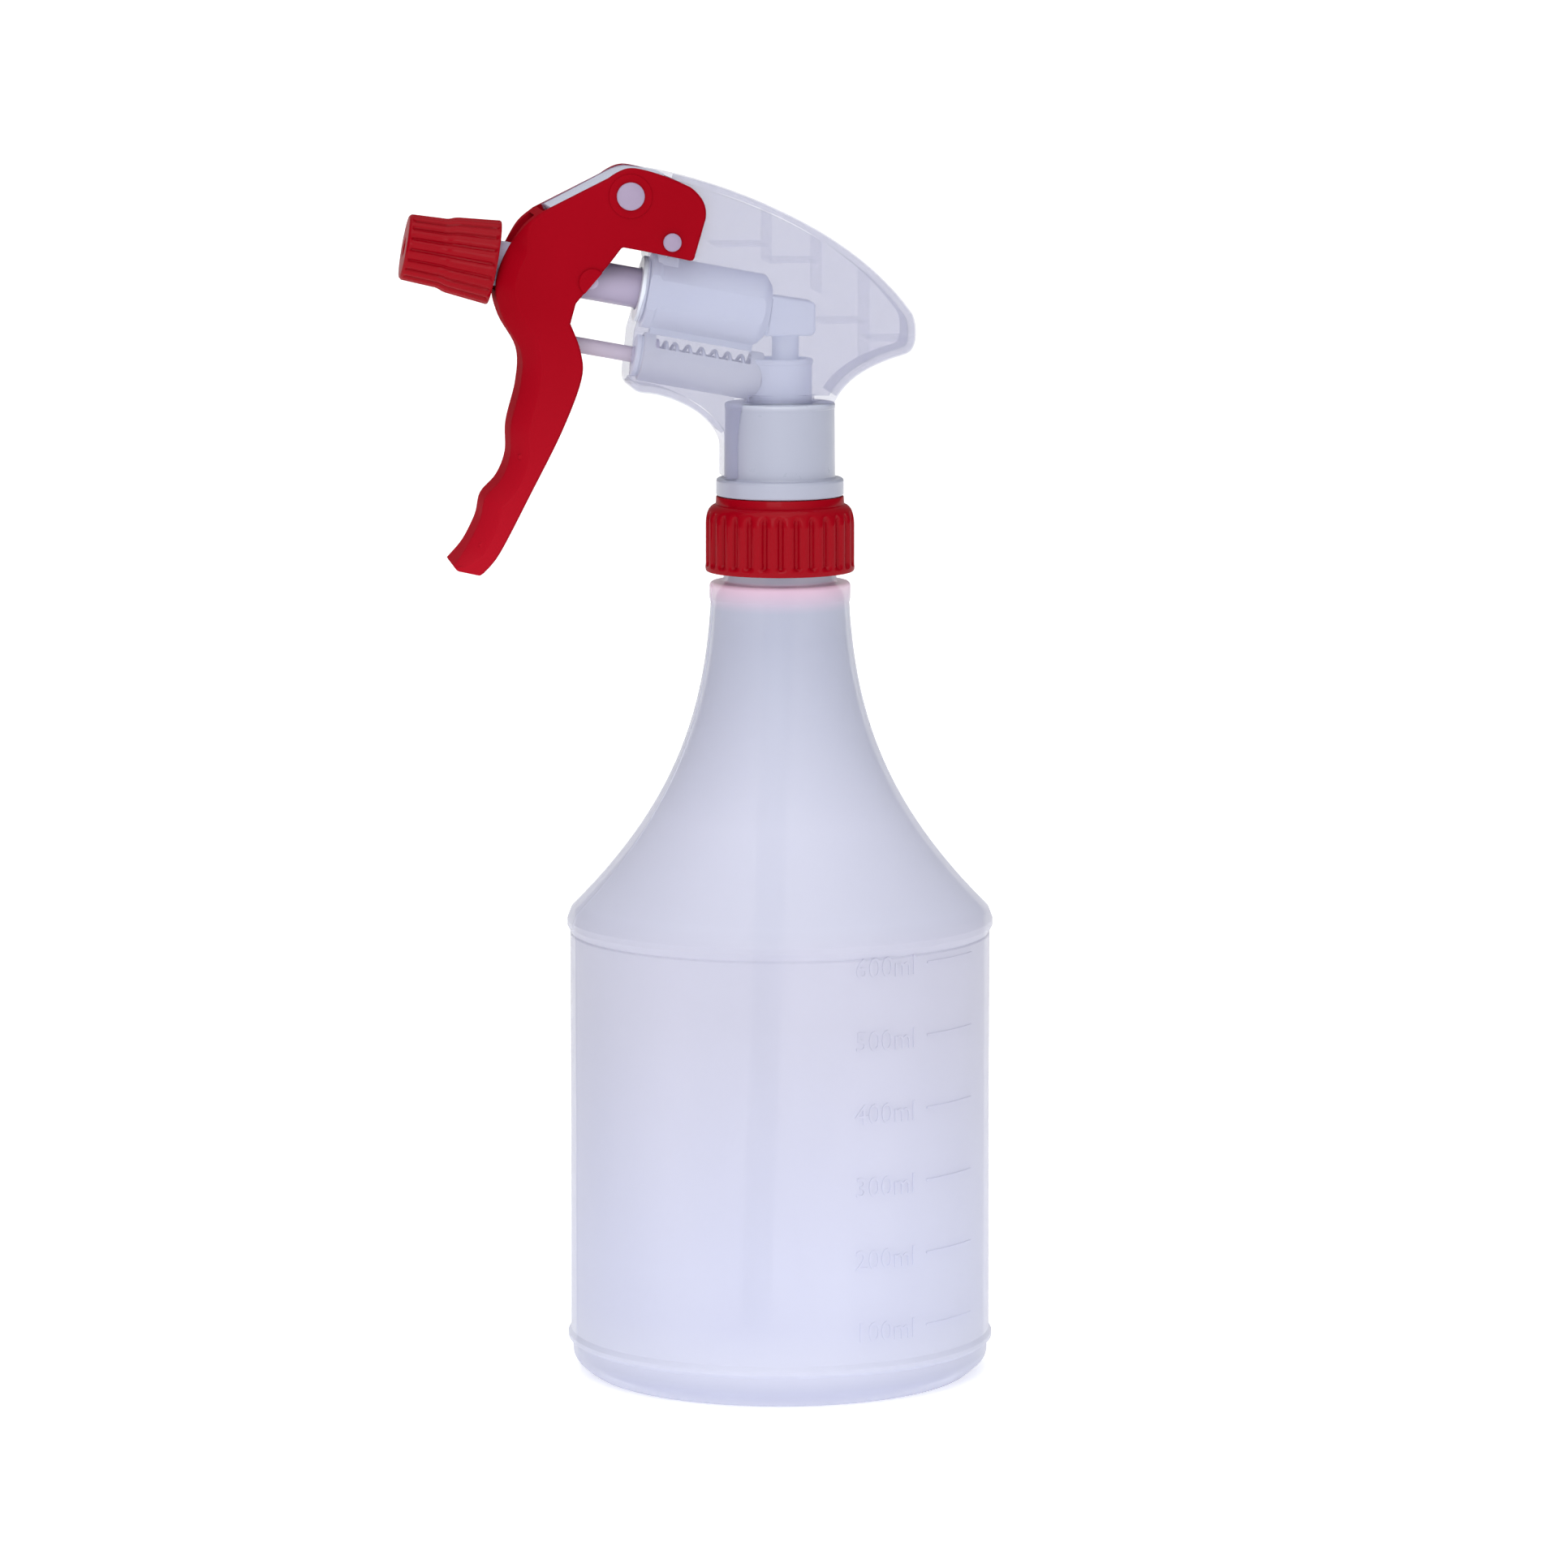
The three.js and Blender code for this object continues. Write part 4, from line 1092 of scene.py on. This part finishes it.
def trigger_outline():
    """The outline and the radius that rounds its edge at each point: large along the web."""
    front = spline(TRIGGER_FRONT, steps=6)
    top = [Vector((-38.9, 267.0))]
    top += bezier((-38.9, 267.0), (-37.1, 268.3), (-35.4, 269.2), (-33.8, 269.2), 6)
    top += bezier((-33.8, 269.2), (-31, 269.2), (-25, 267), (-20.9, 265), 10)
    top += bezier((-20.9, 265), (-18.2, 263), (-17.1, 260.7), (-17.6, 258), 8)
    lower = rounded([
        (-17.6, 258, 0), (-20.3, 248.8, 0.8), (-30.7, 251, 0), (-35.9, 252, 0.8),
        (-38.3, 248.9, 0), (-46.1, 239.8, 1.5), (-47.3, 235.4, 0),
    ], closed=False, steps=4)[1:-1]
    rear = spline(TRIGGER_REAR, steps=6)
    tip = rounded([
        (-66.5, 181, 0), (-67.4, 180.4, 0.7), (-72.4, 181.5, 1.3), (-73.1, 182.6, 0),
    ], closed=False)[1:-1]
    rest = top + lower + rear + tip
    plain = 0.55
    extra = 4.2 - plain
    edges = [plain + extra * fade(point.y, 180, 188) * (1 - fade(point.y, 252, 258)) for point in front]
    return front + rest, edges + [plain] * len(rest)


def trigger_hollow():
    """The space between the cheeks, behind the web."""
    front = offset(spline(TRIGGER_FRONT, steps=6), WEB)
    inner_round = [0.2 + 2.2 * (1 - fade(point.y, 250, 257)) for point in front]
    around = [(-54.6, 264), (-30, 280), (0, 280), (0, 160), (-63, 170)]
    outline = front + [Vector(point) for point in around]
    return slab("hollow", outline, CHEEK_INNER, inner_round + [0.2] * len(around), steps=5)


def lug_pocket():
    """A slot in each cheek that points at the pivot, for the lug runs straight while the trigger turns."""
    towards_pivot = math.atan2(BARREL_DROP, -LUG_X)
    outline = []
    for way in (towards_pivot, towards_pivot + math.pi):
        centre = on_circle(Vector((LUG_X, 0)), 0.7, way)
        outline += [on_circle(centre, 1.95, way + math.pi * (k / 16 - 0.5)) for k in range(17)]
    return slab("pocket", outline, CHEEK_OUTER - 0.2, 0.0, BARREL, steps=1)


def trigger():
    """The trigger: two cheeks and a front web, with a ring round the pivot and a boss at each pocket."""
    outline, rounding = trigger_outline()
    body = slab("trigger", outline, CHEEK_OUTER, rounding, steps=7, chamfer=1.55)
    half_boss = CHEEK_OUTER + 0.6
    half_ring = CHEEK_OUTER + 0.28
    boss = rod("boss", 3, -half_boss, half_boss, LUG_PLACE, edge=0.4)
    boss = clip(boss, slab("boss_trim", outline, 20, 0.0, steps=1))
    pin_ring = rod("pin_ring", 4.8, -half_ring, half_ring, across(PIVOT), sides=96, edge=0.2)
    channel = fuse(carve(fuse(body, boss, pin_ring), trigger_hollow()), *trigger_webs())
    window = rounded([
        (-9, WINDOW_TOP, 1.5), (-32, WINDOW_TOP, 1.5),
        (-32, -STEM_RADIUS - 0.8, 1.5), (-9, -STEM_RADIUS - 0.8, 1.5),
    ])
    return carve(
        channel,
        slab("window", window, STEM_RADIUS + 0.8, 0.5, BARREL),
        lug_pocket(),
        rod("pivot_hole", 2.75, -20, 20, across(PIVOT)),
        rod("stop_hole", 1.85, -20, 20, across(STOP)),
    )


def trigger_webs():
    """Short cross ribs behind the finger grip."""
    webs = []
    for x, z, turn in ((-57.6, 206.5, -14), (-61.6, 196.5, -32), (-66.4, 187.5, -38)):
        place = shifted(x, 0, z) @ Matrix.Rotation(math.radians(turn), 4, "Y")
        webs.append(block("trigger_web", -1.2, 4.2, CHEEK_INNER + 0.4, -0.5, 0.5, 0.1, place))
    return webs


def headed_pin(name, shaft_radius, head_radius, head_height, at):
    """A pin across the head: a shaft with a low domed head at each end."""
    start = CHEEK_OUTER + 0.3
    dome = start + head_height
    half = [
        (0, dome, 0), (head_radius * 0.55, dome - 0.06, 2.0), (head_radius, dome - 0.45, 0.35),
        (head_radius, start, 0.1), (shaft_radius, start, 0.1),
    ]
    other = [(radius, -height, edge) for radius, height, edge in half[::-1]]
    profile = rounded(half + other, closed=False)
    return turned(name, profile, across(at))


# ---------------- piston, valves and nozzle

SEALS = {"piston_front_seal": 17.6, "piston_rear_seal": 21.6}
SEAL_SEAT = 3.5
SEAL_LENGTH = 2.4
OUTLET_BORE = 3.2
OUTLET_SEAT = -26.0
OUTLET_SPRING_FRONT = -33.8


def piston_barrel():
    grooves = [
        (radius, x + step, 0.15)
        for x in SEALS.values()
        for radius, step in (
            (PISTON_RADIUS, -0.3), (SEAL_SEAT, -0.3),
            (SEAL_SEAT, SEAL_LENGTH + 0.3), (PISTON_RADIUS, SEAL_LENGTH + 0.3),
        )
    ]
    tube = lathe("piston_barrel", [
        (OUTLET_BORE, STEM_FRONT, 0.2), (STEM_RADIUS, STEM_FRONT, 0.4), (STEM_RADIUS, -22.4, 0.3),
        (PISTON_RADIUS, -21.4, 0.3), *grooves, (PISTON_RADIUS, PISTON_BACK, 0.3), (1.4, PISTON_BACK, 0.2),
        (1.4, OUTLET_SEAT, 0.2), (OUTLET_BORE, OUTLET_SEAT - 1.2, 0.2),
    ], ALONG_BARREL)
    half_lug = CHEEK_OUTER - 0.6
    lugs = rod("lugs", 1.5, -half_lug, half_lug, LUG_PLACE, edge=0.3)
    flow = rod("flow", 1.4, -10, 10, ALONG_BARREL)
    return carve(fuse(tube, lugs), flow)


def cup_seal(name, x):
    return lathe(name, [
        (SEAL_SEAT + 0.3, x, 0.1), (5.2, x, 0.3), (CYLINDER_BORE - 0.3, x + SEAL_LENGTH, 0.1),
        (5.6, x + SEAL_LENGTH, 0.1), (4.6, x + 1, 0.3), (SEAL_SEAT + 0.3, x + 1, 0.1),
    ], ALONG_BARREL)


def piston_guide_bush():
    return lathe("piston_guide_bush", [
        (PISTON_RADIUS + 0.35, 6.4, 0.2), (7.3, 6.4, 0.4), (7.3, CYLINDER_FRONT - 0.3, 0.2),
        (CYLINDER_BORE - 0.3, CYLINDER_FRONT - 0.3, 0.1), (CYLINDER_BORE - 0.3, 12.6, 0.3),
        (PISTON_RADIUS + 0.35, 12.6, 0.2),
    ], ALONG_BARREL)


def swirl_core():
    plug = lathe("swirl_core", [
        (0, -40.9, 0), (1.5, -40.9, 0.2), (1.5, -40.2, 0.1), (4, -40.2, 0.2), (4, STEM_FRONT - 0.3, 0.1),
        (OUTLET_BORE - 0.3, STEM_FRONT - 0.3, 0.1), (OUTLET_BORE - 0.3, -34.2, 0.2), (0, -34.2, 0),
    ], ALONG_BARREL)
    return carve(
        plug,
        block("groove", -42, -33, 0.5, 1.9, 5, 0.05, BARREL),
        block("groove", -42, -33, 0.5, -5, -1.9, 0.05, BARREL),
        block("slot", -42, -40.5, 2, -0.25, 0.25, 0.05, BARREL),
    )


def nozzle_cap():
    """The cap: a narrow fluted front, an S-shaped waist and a wider fluted back with a plain lip."""
    waist = NOZZLE_FRONT + 0.46 * NOZZLE_LENGTH
    depth = 0.75

    def fluted(radius, x, angle):
        if radius < STEM_RADIUS + 1:
            return radius
        span = fade(x, NOZZLE_FRONT + 0.5, NOZZLE_FRONT + 1.3)
        span *= 1 - fade(x, NOZZLE_BACK - 1.1, NOZZLE_BACK - 0.7)
        return radius - depth * span * (1 - rib_height(angle, NOZZLE_FLUTES, 0.86))

    front = [(NOZZLE_NARROW + 0.04 * k, NOZZLE_FRONT + 1.2 + 0.8 * k, 0) for k in range(8)]
    step = bezier(
        (NOZZLE_NARROW + 0.3, waist - 1.6), (NOZZLE_NARROW + 0.35, waist),
        (NOZZLE_WIDE - 1.1, waist), (NOZZLE_WIDE - 0.9, waist + 1.7), steps=10,
    )
    back_start = waist + 1.7
    back_length = NOZZLE_BACK - 0.4 - back_start
    back = [
        (NOZZLE_WIDE - 0.9 + 0.9 * k / 14, back_start + back_length * k / 14, 0)
        for k in range(1, 15)
    ]
    cap_floor = NOZZLE_FRONT + NOZZLE_WALL
    cap = lathe("nozzle_cap", [
        (0, NOZZLE_FRONT + 1.0, 0), (0.6, NOZZLE_FRONT + 0.9, 0), (2.2, NOZZLE_FRONT, 0.3),
        (NOZZLE_NARROW - 0.5, NOZZLE_FRONT, 0.3), (NOZZLE_NARROW - 0.05, NOZZLE_FRONT + 0.5, 0.3),
        *front,
        *[(point.x, point.y, 0) for point in step],
        *back,
        (NOZZLE_WIDE - 0.1, NOZZLE_BACK, 0.15), (STEM_RADIUS + 0.4, NOZZLE_BACK, 0.3),
        (STEM_RADIUS + 0.4, cap_floor, 0.3), (0, cap_floor, 0),
    ], ALONG_BARREL, steps=4, sides=NOZZLE_FLUTES * 14, swell=fluted)
    return carve(cap, rod("orifice", 0.5, NOZZLE_FRONT - 1, cap_floor + 1, ALONG_BARREL, sides=24))


def nozzle_seal():
    outer = STEM_RADIUS + 0.1
    return lathe("nozzle_seal", [
        (1.9, -42.6, 0.2), (outer, -42.6, 0.2), (outer, -41.4, 0.2), (1.9, -41.4, 0.2),
    ], ALONG_BARREL)


# ---------------- springs and plunger


def return_spring():
    return sweep("return_spring", wound(3.9, 14.2, SPRING_BACK, 6.2, 0.9), 0.42, ALONG_SPRING)


def outlet_spring():
    coils = wound(1.9, OUTLET_SPRING_FRONT, -30.3, 2.6, 0.5)
    return sweep("outlet_spring", coils, 0.25, ALONG_BARREL, sides=10)


def spring_plunger():
    head = CHAMBER_BORE - 0.35
    return lathe("spring_plunger", [
        (0, PLUNGER_FRONT, 0), (PLUNGER_RADIUS, PLUNGER_FRONT, 0.8), (PLUNGER_RADIUS, PLUNGER_HEAD, 0.2),
        (head, PLUNGER_HEAD, 0.2), (head, PLUNGER_HEAD + 1, 0.2), (0, PLUNGER_HEAD + 1, 0),
    ], ALONG_SPRING)


def plunger_bush():
    return lathe("plunger_bush", [
        (PLUNGER_RADIUS + 0.35, 8, 0.2), (4.6, 8, 0.4), (4.6, CHAMBER_FRONT - 0.3, 0.2),
        (CHAMBER_BORE - 0.3, CHAMBER_FRONT - 0.3, 0.1), (CHAMBER_BORE - 0.3, 11.6, 0.2),
        (PLUNGER_RADIUS + 0.35, 11.6, 0.2),
    ], ALONG_SPRING)


# ---------------- assembly


def build():
    """Makes every piece and gives it the body that it rides on and its material."""
    frosted = frosted_body()
    ribbed = ribbed_red()
    lilac = lilac_plastic()
    milky = milky_plastic()
    clear = milky_shroud()
    rubber = seal_rubber()
    ball_steel = steel("ball_steel", 0.08, (1, 1, 1), (0.74, 0.74, 0.75))
    wire = steel("spring_steel", 0.38, (1, 1, 0.1), (0.97, 0.97, 0.98))
    seals = [(cup_seal(name, x), rubber) for name, x in SEALS.items()]
    spring = return_spring()
    small_spring = outlet_spring()

    pieces = {
        "bottle": [(bottle(), frosted), (bottle_scale(), frosted)],
        "closure": [(closure_nut(), ribbed)],
        "pump_head": [
            (dip_tube(), natural_tube()),
            (neck_gasket(), rubber),
            (pump_body(), milky),
            (spring_chamber(), chamber_plastic()),
            (inlet_valve_seat(), milky),
            (shroud(), clear),
            (shroud_ribs(), clear_web()),
            (roof_lining(), milky, "milky_shroud"),
            (rim_core(), clear),
            (headed_pin("trigger_pivot_pin", 2.4, 3.05, 1, PIVOT), lilac),
            (piston_guide_bush(), milky),
            (plunger_bush(), milky),
            (spring, wire),
        ],
        "inlet_valve": [(ball("inlet_ball", 3, shifted(0, 0, BALL_SEAT + 2.9)), ball_steel)],
        "trigger": [
            (trigger(), red_plastic()),
            (headed_pin("trigger_stop_pin", 1.5, 2.0, 0.8, STOP), lilac),
        ],
        "piston": [(piston_barrel(), piston_plastic()), *seals, (swirl_core(), milky), (small_spring, wire)],
        "plunger": [(spring_plunger(), painted_light_lilac())],
        "nozzle": [(nozzle_cap(), ribbed)],
        "nozzle_carrier": [(nozzle_seal(), rubber)],
        "outlet_valve": [(ball("outlet_ball", 1.9, BARREL @ shifted(-28.1, 0, 0)), ball_steel)],
    }
    for body, members in pieces.items():
        for piece, *material_and_slot in members:
            finish(piece, body, *material_and_slot)

    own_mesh(spring)
    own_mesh(small_spring)


# ---------------- floor, light and camera

CAMERA_AZIMUTH = math.radians(-7)
CAMERA_DISTANCE = 1.675
CAMERA_PITCH = math.radians(7.6)
CAMERA_TARGET_HEIGHT = 132
CAMERA_ASIDE = 0.9
CAMERA_LENS = 173.2
CLEAR_LAYERS = 24  # how many clear faces light may cross, for the shroud's walls and webs in line


def floor():
    """A plain white floor that fades into the white behind it."""
    half = 20000
    corners = [(-half, -half, 0), (half, -half, 0), (half, half, 0), (-half, half, 0)]
    ground = make("floor", corners, [[0, 1, 2, 3]])
    material, nodes = new_material("floor_white")
    nodes.set(
        Base_Color=(0.93, 0.93, 0.93, 1), Roughness=0.9, Specular_IOR_Level=0.1,
        Emission_Color=(1, 1, 1, 1), Emission_Strength=0.42,
    )
    ground.data.materials.append(material)


def area_light(name, place, target, size, watts):
    data = bpy.data.lights.new(name, "AREA")
    data.shape = "RECTANGLE"
    data.size, data.size_y = size
    data.energy = watts
    lamp = added(name, data)
    lamp.location = place
    lamp.rotation_euler = (Vector(target) - Vector(place)).to_track_quat("-Z", "Y").to_euler()


def studio_world():
    """White behind the piece; its light is weaker from both sides and from behind, so edges go darker."""
    world = bpy.data.worlds.new("studio")
    nodes = Nodes(world, shader="Background", place="Generated")
    sideways = nodes.combine("ABSOLUTE", nodes.along("X"))
    side_light = nodes.mapped(sideways, 1.27, 0.06, 0, 1)
    back_light = nodes.mapped(nodes.along("Y"), 1.0, 0.5, -0.1, 0.6)
    seen = nodes.add("ShaderNodeLightPath").outputs["Is Camera Ray"]
    nodes.set(
        Color=(1, 1, 1, 1),
        Strength=nodes.combine("MAXIMUM", nodes.combine("MULTIPLY", side_light, back_light), seen),
    )
    bpy.context.scene.world = world


def light():
    """The studio: its white surround, a soft sun from above and a large soft box in front."""
    studio_world()
    sun = bpy.data.lights.new("overhead", "SUN")
    sun.energy = 0.75
    sun.angle = math.radians(70)
    added("overhead", sun).rotation_euler = (math.radians(12), math.radians(-8), 0)
    area_light("front_box", (-0.4, -1.3, 0.75), (0, 0, 0.15), (0.7, 0.9), 3.3)


def camera():
    """The camera at the photograph's angle, a little above the bottle's middle."""
    data = bpy.data.cameras.new("camera")
    data.sensor_width = 36
    data.lens = CAMERA_LENS
    view = added("camera", data)
    turn = Matrix.Rotation(CAMERA_AZIMUTH, 3, "Z") @ Matrix.Rotation(-CAMERA_PITCH, 3, "X")
    right = turn @ Vector((1, 0, 0))
    backward = turn @ Vector((0, -1, 0))
    target = Vector((0, 0, CAMERA_TARGET_HEIGHT * MM)) + right * CAMERA_ASIDE * MM
    view.location = target + backward * CAMERA_DISTANCE
    view.rotation_euler = (-backward).to_track_quat("-Z", "Y").to_euler()
    bpy.context.scene.camera = view


build()
floor()
light()
camera()
bpy.context.scene.view_settings.view_transform = "Standard"
bpy.context.scene.cycles.transparent_max_bounces = CLEAR_LAYERS
